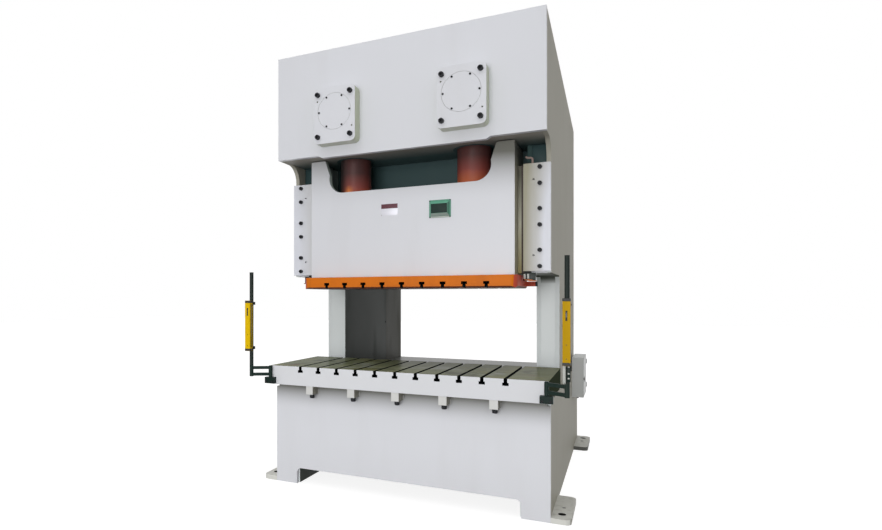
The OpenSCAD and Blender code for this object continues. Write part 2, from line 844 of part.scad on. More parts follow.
module motor_housing() {
    y0 = case_y + 40;
    color(dark_green) translate([motor_x, 0, crank_z]) difference() {
        union() {
            rod_y(0, 0, motor_r, y0 + 30, y0 + motor_l);
            translate([0, 0, 0]) along_y(y0, y0 + 30) rounded(2 * motor_r, 2 * motor_r, 40);
            along_y(y0 + 80, y0 + motor_l - 80) for (i = [0 : 15]) rotate(22.5 * i)
                translate([motor_r - 5, -5]) square([14, 10]);
        }
        rod_y(0, 0, motor_shaft_r + running_gap, y0 - 1, y0 + motor_l - 70);
    }
}

balancer_x = (slide_w - slide_wall) / 2;
balancer_y = slide_y + 170;
balancer_r = 75;
balancer_bore_r = 62;
balancer_rod_r = 25;
balancer_l = stroke + height_adjust + 130;
module balancer_cylinders() {
    z0 = floor_z + crown_wall_t;
    color(dark_green) for (s = [-1, 1]) translate([s * balancer_x, balancer_y, z0]) difference() {
        cylinder(r = balancer_r, h = balancer_l);
        translate([0, 0, 30]) cylinder(r = balancer_bore_r, h = balancer_l - 50);
        translate([0, 0, -1]) cylinder(r = balancer_rod_r + running_gap, h = 40);
    }
}

module balancer_rods() {
    z1 = floor_z + crown_wall_t + balancer_l - 35;
    color(steel) for (s = [-1, 1]) translate([s * balancer_x, balancer_y, 0]) {
        translate([0, 0, ear_z]) cylinder(r = balancer_rod_r, h = z1 - ear_z - 1);
        translate([0, 0, z1 - 50]) cylinder(r = balancer_bore_r - running_gap, h = 50);
    }
}

// ---------------------------------------------------------------- slide

// Front outline of the slide with its trapezoid cut-out between the ears
module slide_face() {
    z_cut = body_z + cut_z;
    round_r = 150;
    difference() {
        translate([-slide_w / 2, body_z]) square([slide_w, ear_z - body_z]);
        polygon([[-cut_half, z_cut], [cut_half, z_cut], [cut_side, z_cut + 140],
            [cut_top, ear_z + 1], [-cut_top, ear_z + 1], [-cut_side, z_cut + 140]]);
        for (s = [-1, 1])
            translate([s * (cut_half + 8), z_cut + round_r]) circle(round_r);
    }
}

module slide_body() {
    y0 = slide_y - slide_front;
    y1 = slide_y + slide_back;
    x1 = slide_w / 2;
    color(paint) difference() {
        union() {
            along_y(y0, y0 + slide_wall) slide_face();
            block([-x1, y0 + slide_wall - 1, body_z], [x1, y1, deck_z]);
            for (s = [-1, 1])
                block([s > 0 ? x1 - slide_wall : -x1, y0 + slide_wall - 1, deck_z - 1],
                    [s > 0 ? x1 : -x1 + slide_wall, y1, ear_z]);
        }
        block([-x1 + slide_wall, y0 + slide_wall, body_z + slide_wall],
            [x1 - slide_wall, y1 - slide_wall, deck_z - slide_wall]);
        for (s = [-1, 1])
            translate([s * crank_x, slide_y, deck_z - slide_wall - 1])
                cylinder(r = screw_r + 2, h = slide_wall + 2);
    }
}

module adjusting_nuts() {
    color(bronze) for (s = [-1, 1])
        translate([s * crank_x, slide_y, deck_z - slide_wall - 120]) difference() {
            cylinder(r = screw_r + 55, h = 120);
            translate([0, 0, -1]) cylinder(r = screw_r + running_gap, h = 122);
        }
}

// Lug at each rear end of the slide plate
end_lug_l = 100;
end_lug_w = 46;
module slide_plate() {
    corner = 60;
    x1 = slide_plate_w / 2;
    y0 = slide_y - slide_plate_d / 2;
    y1 = y0 + slide_plate_d;
    z0 = plate_z - 1;
    lug_z = plate_z + plate_edge + 4;
    wedge = [[-1, z0], [plate_edge + 1, z0], [-1, plate_z + plate_edge + 1]];
    color(orange) {
        difference() {
            translate([0, slide_y, plate_z]) linear_extrude(slide_plate_t)
                rounded(slide_plate_w, slide_plate_d, corner);
            along_y(y0 - 1, y1 + 1) for (i = [0 : slide_slots - 1])
                translate([(i - (slide_slots - 1) / 2) * slot_pitch, plate_z]) slot_outline();
            along_x(-x1 - 1, x1 + 1) translate([y0, 0]) polygon(wedge);
            along_x(-x1 - 1, x1 + 1) translate([y1, 0]) mirror([1, 0]) polygon(wedge);
            along_y(y0 - 1, y1 + 1) translate([-x1, 0]) polygon(wedge);
            along_y(y0 - 1, y1 + 1) translate([x1, 0]) mirror([1, 0]) polygon(wedge);
        }
        both_sides() block([x1 - 1, y1 - corner - end_lug_w, lug_z],
            [x1 + end_lug_l, y1 - corner, lug_z + end_lug_w]);
    }
}

// Case of the die height display, a low pyramid on a flange with a window on its front
hood_w = 210;
hood_h = 170;
hood_t = 40;
flange_t = 4;
module display_hood() {
    y1 = slide_y - slide_front;
    inset = 13;
    window_w = 158;
    window_h = 92;
    color(bright_green) translate([346, 0, body_z + 640]) {
        along_y(y1 - flange_t, y1) rounded(hood_w, hood_h, 6);
        hull() {
            block([inset - hood_w / 2, y1 - flange_t - 1, inset - hood_h / 2],
                [hood_w / 2 - inset, y1 - flange_t, hood_h / 2 - inset]);
            block([-window_w / 2, y1 - hood_t, -window_h / 2],
                [window_w / 2, y1 - hood_t + 1, window_h / 2]);
        }
    }
}

// ---------------------------------------------------------------- light curtain

hinge_x = bolster_w / 2 - 15;
hinge_y = slide_y - bolster_d / 2 - 27;
hinge_r = 12;
sleeve_r = 19;
arm_z = bed_z + 88;
arm_l = 30;
arm_gap = 67;
arm_top = arm_z + arm_gap + arm_l;
post_y = slide_y - post_front;

module curtain_brackets() {
    color(dark_green) both_sides() {
        block([hinge_x - 53, slide_y - bolster_d / 2 - 52, bed_z + 10],
            [hinge_x + 53, slide_y - bolster_d / 2, bed_z + 72]);
        translate([hinge_x, hinge_y, bed_z + 71]) cylinder(r = hinge_r, h = arm_top - bed_z - 68);
        translate([hinge_x, hinge_y, arm_top + 2]) cylinder(r = hinge_r + 3, h = 4);
    }
}

// A flat bar in plan between two points, with its thickness and height
module flat_bar(a, b, w, z0, h) {
    d = b - a;
    translate([a[0], a[1], z0]) rotate([0, 0, atan2(d[1], d[0])]) translate([0, -w / 2, 0])
        cube([norm(d), w, h]);
}

module curtain_arm(top) {
    difference() {
        union() {
            for (z = [arm_z, arm_z + arm_gap])
                flat_bar([hinge_x, hinge_y], [post_x, post_y], 24, z, arm_l);
            translate([hinge_x, hinge_y, bed_z + 73]) cylinder(r = sleeve_r, h = arm_top - bed_z - 72);
            translate([post_x, post_y, arm_z - 5]) cylinder(d = post_w, h = top - arm_z + 5);
        }
        translate([hinge_x, hinge_y, bed_z]) cylinder(r = hinge_r + running_gap, h = 300);
    }
}

module sensor() {
    y0 = post_y - post_w / 2 - 8;
    collar = post_w / 2 + guide_gap;
    block([post_x - sensor_w / 2, y0 - sensor_d, sensor_z],
        [post_x + sensor_w / 2, y0, sensor_z + sensor_l]);
    for (z = [sensor_z + 14, sensor_z + sensor_l - 44]) difference() {
        block([post_x - collar - 7, y0 - 1, z], [post_x + collar + 7, post_y + collar + 7, z + 30]);
        translate([post_x, post_y, z - 1]) cylinder(r = collar, h = 32);
    }
}

// ---------------------------------------------------------------- cabinet

cabinet_y0 = base_y1 - cabinet_back - cabinet_l;
cabinet_y1 = cabinet_y0 + cabinet_l;
door_gap = 2;
module cabinet_box() {
    x0 = base_x;
    x1 = base_x + cabinet_d;
    color(paint) {
        difference() {
            block([x0, cabinet_y0, cabinet_z], [x1, cabinet_y1, cabinet_z + cabinet_h]);
            block([x0 + sheet_t, cabinet_y0 + sheet_t, cabinet_z + sheet_t],
                [x1 + 1, cabinet_y1 - sheet_t, cabinet_z + cabinet_h - sheet_t]);
        }
        for (z = [cabinet_z + 60, cabinet_z + cabinet_h - 120])
            cabinet_knuckle(z, 60);
    }
}

door_hinge_x = base_x + cabinet_d + 9;
door_hinge_y = cabinet_y1 + 9;
module cabinet_knuckle(z, h) {
    translate([door_hinge_x, door_hinge_y, z]) cylinder(r = 4, h = h);
    translate([door_hinge_x, door_hinge_y, z]) cylinder(r = 8, h = 20);
    block([door_hinge_x - 16, cabinet_y1 - 1, z], [door_hinge_x - 9, door_hinge_y + 3, z + 20]);
    block([door_hinge_x - 16, door_hinge_y - 3, z], [door_hinge_x, door_hinge_y + 3, z + 20]);
}

module cabinet_door() {
    x0 = base_x + cabinet_d + door_gap;
    color(paint) {
        block([x0, cabinet_y0, cabinet_z], [x0 + sheet_t, cabinet_y1, cabinet_z + cabinet_h]);
        for (z = [cabinet_z + 60, cabinet_z + cabinet_h - 120]) difference() {
            union() {
                translate([door_hinge_x, door_hinge_y, z + 20.5]) cylinder(r = 8, h = 36);
                block([x0, cabinet_y1 - 1, z + 20.5], [x0 + sheet_t, door_hinge_y, z + 56.5]);
            }
            translate([door_hinge_x, door_hinge_y, z]) cylinder(r = 4 + running_gap, h = 80);
        }
    }
}

color(paint) mirror([1, 0, 0]) side_plate();  // side_plate_left
color(paint) side_plate();  // side_plate_right
color(dark_green) mirror([1, 0, 0]) inner_plate();  // inner_plate_left
color(dark_green) inner_plate();  // inner_plate_right
throat_plates();
column_backs();
crown_front_plate();
crown_roof();
crown_floor();
bearing_wall_front();
bearing_wall_rear();
gear_case();
rear_cover();
base_front_plate();
base_side_plates();
bed_plate();
base_rear_plate();
foot_plates();
jack_screws();
bolster();
bolster_lugs();
lug_bolts();
color(paint) mirror([1, 0, 0]) gib_plate();  // gib_plate_left
color(paint) gib_plate();  // gib_plate_right
gib_seats();
gib_liners();
gib_bolts();
color(paint) bearing_cover(-1);  // bearing_cover_left
color(paint) bearing_cover(1);  // bearing_cover_right
cover_caps();
cover_bolts();
cap_screws();
bearing_bushes();
plunger_bushes();
motor_housing();
balancer_cylinders();
color(steel) crankshaft(-1);  // crankshaft_left
color(steel) crankshaft(1);  // crankshaft_right
color(steel) main_gear(-1);  // main_gear_left
color(steel) main_gear(1);  // main_gear_right
drive_shaft();
drive_gear();
motor_shaft();
connecting_rods();
crank_pins();
wrist_pins();
plungers();
slide_body();
slide_plate();
guide_rails();
adjusting_nuts();
balancer_rods();
display_hood();
curtain_brackets();
color(dark_green) mirror([1, 0, 0]) curtain_arm(post_top);  // curtain_arm_left
color(dark_green) curtain_arm(post_top + post_rise);  // curtain_arm_right
color(yellow) mirror([1, 0, 0]) sensor();  // sensor_left
color(yellow) sensor();  // sensor_right
cabinet_box();
cabinet_door();
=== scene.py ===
"""Looks of a gap-frame servo press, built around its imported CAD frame.

Lengths are in metres in the shared frame: +X to the operator's right, +Y to the back, +Z up,
with the origin on the floor between the four anchor holes.
"""

import json
import logging
import math
from dataclasses import dataclass, field
from enum import Enum
from typing import Optional, Sequence, Union

import bmesh
import bpy
from mathutils import Matrix, Vector


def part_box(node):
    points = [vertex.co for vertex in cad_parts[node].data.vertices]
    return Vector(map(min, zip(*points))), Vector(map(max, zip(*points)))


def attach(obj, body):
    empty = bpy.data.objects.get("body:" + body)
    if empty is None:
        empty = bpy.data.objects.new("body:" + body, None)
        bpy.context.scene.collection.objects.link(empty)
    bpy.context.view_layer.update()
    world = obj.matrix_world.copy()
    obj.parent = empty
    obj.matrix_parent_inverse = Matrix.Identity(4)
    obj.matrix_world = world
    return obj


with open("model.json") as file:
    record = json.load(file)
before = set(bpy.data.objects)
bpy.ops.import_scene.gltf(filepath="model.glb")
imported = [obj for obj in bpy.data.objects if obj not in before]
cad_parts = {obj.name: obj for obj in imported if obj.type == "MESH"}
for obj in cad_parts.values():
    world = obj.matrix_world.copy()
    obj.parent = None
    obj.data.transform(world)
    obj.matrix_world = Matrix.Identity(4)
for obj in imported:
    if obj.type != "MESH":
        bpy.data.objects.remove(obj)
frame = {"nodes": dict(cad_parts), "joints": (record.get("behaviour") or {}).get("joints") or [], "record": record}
LOG = logging.getLogger("servo_press")

Point = tuple[float, float, float]
Colour = tuple[float, float, float, float]
Socket = bpy.types.NodeSocket

SIDES = (("left", -1), ("right", 1))  # a side's name, and its sign along X
FIVE_LUGS = range(-2, 3)  # counted from the middle one
SMOOTH_UP_TO = math.radians(40.0)  # sharper edges stay sharp
ROUND_OVER = 0.6  # radians between two faces from which their edge is rounded
WHITE_LIGHT: Colour = (1.0, 1.0, 1.0, 1.0)


def srgb(red: float, green: float, blue: float) -> Colour:
    """Turn a display colour into a linear one.

    Args:
        red: Its red, from 0 to 1.
        green: Its green.
        blue: Its blue.

    Returns:
        The linear colour, fully opaque.
    """
    def line(value: float) -> float:
        """Turn one display channel into a linear one."""
        return value / 12.92 if value <= 0.04045 else ((value + 0.055) / 1.055) ** 2.4
    return (line(red), line(green), line(blue), 1.0)


DUST = srgb(0.60, 0.58, 0.52)
GREY_DUST = srgb(0.34, 0.35, 0.32)


class Axis(Enum):
    """Direction a shape stands along."""
    X = "x"
    Y = "y"
    Z = "z"

    def frame(self) -> Matrix:
        """Find the turn that takes +Z to this axis.

        Returns:
            The turn.
        """
        if self is Axis.X:
            return Matrix.Rotation(math.pi / 2, 4, "Y")
        if self is Axis.Y:
            return Matrix.Rotation(-math.pi / 2, 4, "X")
        return Matrix.Identity(4)


class Look(Enum):
    """Turn that takes +Z to the side a part looks to."""
    FRONT = (math.pi / 2, 0.0, 0.0)
    BACK = (-math.pi / 2, 0.0, 0.0)
    RIGHT = (0.0, math.pi / 2, 0.0)
    LEFT = (0.0, -math.pi / 2, 0.0)
    DOWN = (math.pi, 0.0, 0.0)


# ------------------------------------------------------------------ node trees

class Value:
    """A number in a node tree. Python operators on it add Math nodes."""

    def __init__(self, graph: "Graph", socket: Socket) -> None:
        """Wrap a socket of a graph."""
        self.graph = graph
        self.socket = socket

    def __add__(self, other: "Number") -> "Value":
        """Sum."""
        return self.graph.math("ADD", self, other)

    __radd__ = __add__

    def __sub__(self, other: "Number") -> "Value":
        """Difference."""
        return self.graph.math("SUBTRACT", self, other)

    def __rsub__(self, other: "Number") -> "Value":
        """Difference from a plain number."""
        return self.graph.math("SUBTRACT", other, self)

    def __mul__(self, other: "Number") -> "Value":
        """Product."""
        return self.graph.math("MULTIPLY", self, other)

    __rmul__ = __mul__

    def __truediv__(self, other: "Number") -> "Value":
        """Quotient."""
        return self.graph.math("DIVIDE", self, other)

    def __gt__(self, other: "Number") -> "Value":
        """1 where this is greater, else 0."""
        return self.graph.math("GREATER_THAN", self, other)

    def __lt__(self, other: "Number") -> "Value":
        """1 where this is less, else 0."""
        return self.graph.math("LESS_THAN", self, other)

    def __abs__(self) -> "Value":
        """Size without its sign."""
        return self.graph.math("ABSOLUTE", self)

    def clamp(self) -> "Value":
        """The same number held between 0 and 1."""
        return self.graph.math("MAXIMUM", self.graph.math("MINIMUM", self, 1.0), 0.0)

    def ramp(self, start: float, end: float) -> "Value":
        """0 up to start, 1 from end on, even between them."""
        return ((self - start) / (end - start)).clamp()

    def nearest(self, step: float) -> "Value":
        """Distance to the nearest whole multiple of a step."""
        return self.graph.math("PINGPONG", self, step / 2)

    def sine(self) -> "Value":
        """Sine of this angle in radians."""
        return self.graph.math("SINE", self)


Number = Union[float, Value]


class Graph:
    """Adds nodes to one node tree."""

    def __init__(self, tree: bpy.types.NodeTree) -> None:
        """Work on a tree."""
        self.tree = tree

    def feed(self, socket: Socket, source: object) -> None:
        """Link or set one input.

        Args:
            socket: The input.
            source: A Value, a socket or a node's first output to link, or a plain value to set.
        """
        if isinstance(source, Value):
            source = source.socket
        elif isinstance(source, bpy.types.Node):
            source = source.outputs[0]
        if isinstance(source, Socket):
            self.tree.links.new(source, socket)
        else:
            socket.default_value = source

    def node(self, kind: str, inputs: Optional[dict] = None, **settings: object
             ) -> bpy.types.Node:
        """Add a node.

        Args:
            kind: The node's type.
            inputs: Values or links by socket name or number.
            settings: The node's properties, set before the inputs.

        Returns:
            The node.
        """
        node = self.tree.nodes.new(kind)
        for key, value in settings.items():
            setattr(node, key, value)
        for key, value in (inputs or {}).items():
            self.feed(node.inputs[key], value)
        return node

    def value(self, kind: str, inputs: Optional[dict] = None, output: int = 0,
              **settings: object) -> Value:
        """Add a node and wrap one of its outputs.

        Args:
            kind: The node's type.
            inputs: Values or links by socket name or number.
            output: Number of the output.
            settings: The node's properties.

        Returns:
            The output.
        """
        return Value(self, self.node(kind, inputs, **settings).outputs[output])

    def math(self, operation: str, *terms: Number) -> Value:
        """Add a Math node over the terms."""
        return self.value("ShaderNodeMath", dict(enumerate(terms)), operation=operation)


class Surface(Graph):
    """A material with a Principled shader, and the patterns finishes are made of."""

    def __init__(self, name: str) -> None:
        """Start an empty material.

        Args:
            name: The material's name.
        """
        self.material = bpy.data.materials.new(name)
        self.material.use_nodes = True
        super().__init__(self.material.node_tree)
        self.tree.nodes.clear()
        self.shader = self.node("ShaderNodeBsdfPrincipled")
        self.output = self.node("ShaderNodeOutputMaterial", {0: self.shader})
        self.place = self.node("ShaderNodeTexCoord").outputs["Object"]

    def set(self, **sockets: object) -> None:
        """Feed the shader's sockets, named with underscores for spaces."""
        for name, source in sockets.items():
            self.feed(self.shader.inputs[name.replace("_", " ")], source)

    def noise(self, scale: float, detail: float = 2.0, roughness: float = 0.5,
              stretch: Optional[Point] = None, distortion: float = 0.0) -> Value:
        """Add a noise pattern of about 1/scale metres.

        Args:
            scale: Cells in a metre.
            detail: Octaves of finer noise.
            roughness: Weight of the finer octaves.
            stretch: Scale along each axis before the pattern.
            distortion: How much the pattern is warped.

        Returns:
            The pattern, from 0 to 1.
        """
        where: object = self.place
        if stretch:
            where = self.node("ShaderNodeMapping", {0: self.place, 3: stretch})
        return self.value("ShaderNodeTexNoise", {
            "Vector": where, "Scale": scale, "Detail": detail,
            "Roughness": roughness, "Distortion": distortion})

    def spots(self, scale: float, low: float, high: float, **pattern: object) -> Value:
        """Noise turned into patches: 0 under low, 1 over high."""
        return self.noise(scale, **pattern).ramp(low, high)

    def runs(self, scale: float, low: float, high: float, fall: float) -> Value:
        """Patches drawn out downward, the more so the smaller fall is."""
        return self.spots(scale, low, high, detail=5.0, stretch=(1.0, 1.0, fall))

    def axis(self, letter: str) -> Value:
        """One object coordinate."""
        return self.value("ShaderNodeSeparateXYZ", {0: self.place}, "xyz".index(letter))

    def facing(self, letter: str) -> Value:
        """One part of the surface's own normal."""
        normal = self.node("ShaderNodeNewGeometry").outputs["True Normal"]
        return self.value("ShaderNodeSeparateXYZ", {0: normal}, "xyz".index(letter))

    def blend(self, factor: Number, first: object, second: object) -> Socket:
        """Mix two colours by a factor."""
        return self.node("ShaderNodeMix", {0: factor, 6: first, 7: second},
                         data_type="RGBA").outputs[2]

    def layers(self, base: object, *over: tuple[Number, object]) -> object:
        """Lay colours over a base.

        Args:
            base: The colour under them.
            over: The share and the colour of each, the lowest first.

        Returns:
            The colour that results.
        """
        for share, colour in over:
            base = self.blend(share, base, colour)
        return base

    def rounded(self, radius: float) -> Socket:
        """Normal that rounds sharp edges off."""
        return self.node("ShaderNodeBevel", {"Radius": radius}, samples=6).outputs[0]

    def bump(self, height: Value, distance: float, strength: float, normal: Socket) -> Socket:
        """Turn a height pattern into a normal.

        Args:
            height: The pattern.
            distance: Metres between its 0 and 1.
            strength: How much of it shows.
            normal: The normal under it.

        Returns:
            The bumped normal.
        """
        return self.node("ShaderNodeBump", {
            "Height": height, "Distance": distance, "Strength": strength,
            "Normal": normal}).outputs[0]

    def grain(self, scale: float, depth: float, edge: float, strength: float = 0.6,
              detail: float = 2.0) -> Socket:
        """Normal of a finely grained surface with rounded edges.

        Args:
            scale: Grains in a metre.
            depth: Their depth in metres.
            edge: Radius of the rounded edges.
            strength: How much of the grain shows.
            detail: Octaves of finer grain.

        Returns:
            The normal.
        """
        return self.bump(self.noise(scale, detail), depth, strength, self.rounded(edge))


def anchor_field(own: Surface, grow: float = 1.0) -> Value:
    """1 inside the four anchor holes' columns, 0 elsewhere.

    Args:
        own: The material.
        grow: The holes' radius times this.

    Returns:
        The field.
    """
    sizes = next(m["dims"] for m in frame["record"]["mounts"] if m["name"] == "anchor_holes")
    dx = abs(abs(own.axis("x")) - sizes["spacing_x_mm"] / 2000.0)
    dy = abs(abs(own.axis("y")) - sizes["spacing_y_mm"] / 2000.0)
    return dx * dx + dy * dy < (grow * sizes["hole_r_mm"] / 1000.0) ** 2


# ------------------------------------------------------------------ finishes

@dataclass(frozen=True)
class Finish:
    """A finish that can be put on any piece.

    Attributes:
        name: The material's name.
    """
    name: str

    def dress(self, own: Surface) -> None:
        """Feed the material's shader.

        Args:
            own: The material.
        """
        raise NotImplementedError

    def material(self) -> bpy.types.Material:
        """Build the material, or find it where it is built already.

        Returns:
            The material.
        """
        made = bpy.data.materials.get(self.name)
        if made is None:
            own = Surface(self.name)
            self.dress(own)
            made = own.material
        return made


@dataclass(frozen=True)
class SprayedPaint(Finish):
    """Machine enamel sprayed on steel plate, a little dusty low down and rubbed at the edges.

    Attributes:
        colour: The paint.
        gloss: Roughness of the clean paint.
        film: Depth of its orange peel in metres.
        dust: Colour of the dust and oil film on it.
        dusty: How much of that film shows.
        edge: Radius of its rounded edges.
        shine: Strength of its highlights.
        under: Painted shade of faces that look down, or None where they're the same.
        side_shade: Painted shade of faces that look sideways, or None where they're the same.
        inward_shade: Painted shade tint of faces that look to the middle of the press, or None.
        front: Lit tone of faces that look to the front, or None where they're the same.
        painted_shadow: Colour of a painted shadow that deepens upward, or None where there is none.
        rise: Heights where the painted shadow starts and where it is full.
        lean: How much more of the painted shadow lies on the right than on the left.
    """
    colour: Colour
    gloss: float = 0.34
    film: float = 0.0002
    dust: Colour = DUST
    dusty: float = 0.10
    edge: float = 0.004
    shine: float = 0.30
    # Tones by facing: downward, sideways and inward faces take painted shade, front faces the lit tone.
    under: Optional[Colour] = None
    side_shade: Optional[Colour] = None
    inward_shade: Optional[Colour] = None
    front: Optional[Colour] = None
    painted_shadow: Optional[Colour] = None
    rise: tuple[float, float] = (0.0, 1.0)
    lean: float = 0.0

    def dress(self, own: Surface) -> None:
        """Build the enamel.

        Args:
            own: The material.
        """
        cloud = own.noise(1.6, detail=4.0, roughness=0.6)
        streak = own.runs(3.0, 0.50, 0.78, 0.16)
        low = 1.0 - own.axis("z").ramp(0.0, 0.5)
        film = (streak * (0.5 + 0.5 * cloud) * self.dusty + low * cloud * self.dusty * 0.9).clamp()
        speck = own.spots(240.0, 0.70, 0.74, detail=1.0) * 0.25 * self.dusty
        # Painted shade by the way each face looks.
        coats = ((self.under, lambda: (own.facing("z") * -1.5 - 0.1).clamp()),
                 (self.side_shade, lambda: abs(own.facing("x")) > 0.6),
                 (self.inward_shade, lambda: own.facing("x") * own.axis("x") < -0.3),
                 (self.front, lambda: own.facing("y") < -0.5))
        coat = own.layers(self.colour, *((share(), colour) for colour, share in coats if colour))
        # Painted shadow under an overhang: the paint darkens upward, more on the right.
        if self.painted_shadow is not None:
            risen = own.axis("z").ramp(*self.rise)
            shadowed = risen * risen * (1.0 + own.axis("x") * self.lean)
            coat = own.blend(shadowed.clamp(), coat, self.painted_shadow)
        own.set(Base_Color=own.blend((film + speck).clamp(), coat, self.dust),
                Roughness=(self.gloss + 0.10 * (cloud - 0.5) + 0.35 * film).clamp(),
                Specular_IOR_Level=self.shine,
                Normal=own.bump(own.noise(90.0, detail=2.0), self.film, 0.6,
                                own.grain(2.2, 0.0012, self.edge, 0.5)))


@dataclass(frozen=True)
class BolsterFinish(Finish):
    """Painted sides under a ground steel top with grinding lines, T-slots, an oil film and painted sheen.

    Attributes:
        paint: Colour of the painted faces.
        top: Height of the ground face.
        span: Half the length of the bolster.
        slot: Depth of the T-slots.
        side: Colour of the end faces, painted shade.
    """
    paint: Colour
    top: float
    span: float
    slot: float = 0.0601
    side: Colour = srgb(0.22, 0.25, 0.19)

    def dress(self, own: Surface) -> None:
        """Build paint, ground steel, oil, painted sheen and painted shade on one node.

        Args:
            own: The material.
        """
        up = (own.facing("z") > 0.5) * (own.axis("z") > self.top - 0.002)
        front = abs(own.facing("y")) > 0.5
        outside = abs(own.axis("x")) > self.span - 0.003
        # The T-slots' inner faces are painted near black as shade.
        inside = ((1.0 - up) * (1.0 - front) * (1.0 - outside)
                  * (own.axis("z") > self.top - self.slot)).clamp()
        lines = own.noise(30.0, detail=6.0, roughness=0.7, stretch=(0.25, 14.0, 1.0))
        wide = own.noise(2.3, detail=4.0, roughness=0.6, distortion=0.6)
        oil = own.spots(1.3, 0.36, 0.54, detail=4.0, distortion=1.2)
        stain_and_reflection = own.spots(4.0, 0.54, 0.70, detail=5.0, distortion=0.6)
        rust = own.spots(2.1, 0.64, 0.74, detail=3.0, distortion=0.8)
        gold_sheen = own.spots(1.9, 0.54, 0.64, detail=3.0, distortion=1.5)
        painted_highlight = own.spots(2.7, 0.60, 0.70, detail=2.0)
        green = ((own.axis("x") + 0.4) / -0.8).clamp()
        # Oil, stains and rust are the top's own; golden and green patches are partly painted sheen, dark stains
        # partly paint the column's reflection, pale patches paint highlights.
        steel = own.layers(
            srgb(0.39, 0.40, 0.30), (wide, srgb(0.60, 0.61, 0.48)),
            (green * 0.25, srgb(0.42, 0.50, 0.32)), (oil * 0.5, srgb(0.40, 0.42, 0.29)),
            (gold_sheen * 0.3, srgb(0.54, 0.51, 0.27)), (stain_and_reflection * 0.5, srgb(0.19, 0.19, 0.17)),
            (rust * 0.5, srgb(0.44, 0.25, 0.22)), (painted_highlight * 0.5, srgb(0.66, 0.67, 0.64)))
        # The end faces take the side colour as painted shade.
        ends = outside * (abs(own.facing("x")) > 0.5)
        own.set(Base_Color=own.layers(self.paint, (own.noise(1.6, detail=3.0) * 0.06, DUST),
                                      (ends, self.side), (up, steel),
                                      (inside, srgb(0.09, 0.11, 0.11))),
                Metallic=(up * (0.05 - 0.03 * oil)).clamp(),
                Roughness=(up * (0.22 + 0.14 * lines - 0.08 * oil)
                           + (1.0 - up) * (0.42 + 0.45 * ends) + inside * 0.2).clamp(),
                Specular_IOR_Level=0.002,
                Normal=own.bump(lines * up, 0.0002, 0.5, own.rounded(0.004)))


@dataclass(frozen=True)
class SlidePlateFinish(Finish):
    """Orange upright faces over a red-brown chamfered edge in painted shade, a dark ground underside and T-slots.

    Attributes:
        paint: Colour of the upright faces.
        chamfer_shade: Colour of the chamfered lower edge, painted shade.
        under: Colour of the ground underside.
        low: Height of the underside.
        pitch: Distance between the T-slots.
        slot: Half the width of a slot's head.
        ends: Colour of the end faces and lugs; on the end faces it is painted shade.
        body: Half the length of the plate without its lugs.
        reach: Distance from the middle where a lug's dark tip starts.
    """
    paint: Colour
    chamfer_shade: Colour
    under: Colour
    low: float
    pitch: float = 0.200
    slot: float = 0.0275
    ends: Colour = srgb(0.74, 0.30, 0.22)
    body: float = 1.066
    reach: float = 1.150

    def dress(self, own: Surface) -> None:
        """Build paint, painted shade on the chamfered edge and end faces, steel and slots on one node.

        Args:
            own: The material.
        """
        height = own.axis("z")
        front = abs(own.facing("y")) > 0.5
        end = ((abs(own.facing("x")) > 0.5) + (abs(own.axis("x")) > self.body + 0.001)).clamp()
        cap = abs(own.axis("x")) > self.reach
        # The chamfered edge's slanted faces take painted shade.
        slanted = (own.facing("z") < -0.3) * (own.facing("z") > -0.9)
        flat = own.facing("z") < -0.9
        # The T-slots' inner faces are painted near black as shade.
        slot = ((own.axis("x").nearest(self.pitch) < self.slot) * (1.0 - front)
                * (height > self.low + 0.002)).clamp()
        cloud = own.noise(2.1, detail=4.0, roughness=0.6)
        grease = own.runs(6.0, 0.50, 0.74, 0.3)
        lower = 1.0 - height.ramp(self.low, self.low + 0.06)
        colour = own.layers(
            self.paint,
            ((grease * 0.22 + lower * 0.28 * cloud).clamp(), srgb(0.50, 0.24, 0.10)),
            (end, own.blend(grease * 0.3, self.ends, self.chamfer_shade)),
            (cap, srgb(0.13, 0.13, 0.14)),
            (slanted, own.blend(cloud * 0.5, self.chamfer_shade, self.under)),
            (flat, own.blend(grease * 0.4, self.under, srgb(0.20, 0.13, 0.10))),
            (slot, srgb(0.06, 0.08, 0.07)))
        own.set(Base_Color=colour,
                Metallic=flat * 0.6,
                Roughness=(0.42 + 0.14 * cloud + 0.2 * slot).clamp(),
                Specular_IOR_Level=0.15,
                Normal=own.grain(90.0, 0.0002, 0.003))


@dataclass(frozen=True)
class WorkedSteel(Finish):
    """Bare machined or ground metal with fine tool lines and a thin oil film.

    Attributes:
        colour: The metal.
        oil: Colour of the film in its hollows.
        gloss: Roughness of the bare metal.
        lines: Stretch of the tool lines along each axis.
        metal: How metallic it is.
    """
    colour: Colour
    oil: Colour = srgb(0.30, 0.27, 0.20)
    gloss: float = 0.30
    lines: Point = (1.0, 1.0, 12.0)
    metal: float = 0.92

    def dress(self, own: Surface) -> None:
        """Build the metal.

        Args:
            own: The material.
        """
        tool = own.noise(45.0, detail=5.0, roughness=0.65, stretch=self.lines)
        film = own.spots(7.0, 0.50, 0.75, detail=4.0)
        own.set(Base_Color=own.blend(film * 0.35, self.colour, self.oil), Metallic=self.metal,
                Roughness=(self.gloss + 0.16 * tool + 0.12 * film - 0.05).clamp(),
                Normal=own.bump(tool, 0.00015, 0.5, own.rounded(0.002)))


@dataclass(frozen=True)
class Blackened(Finish):
    """Black oxide on screws, worn a little brighter in patches.

    Attributes:
        colour: The oxide.
    """
    colour: Colour = srgb(0.115, 0.120, 0.135)

    def dress(self, own: Surface) -> None:
        """Build the oxide.

        Args:
            own: The material.
        """
        wear = own.spots(60.0, 0.55, 0.75, detail=4.0)
        own.set(Base_Color=own.blend(wear * 0.3, self.colour, srgb(0.26, 0.26, 0.27)),
                Specular_IOR_Level=0.2, Roughness=(0.48 + 0.2 * wear).clamp(),
                Normal=own.grain(300.0, 0.0001, 0.001, 0.5))


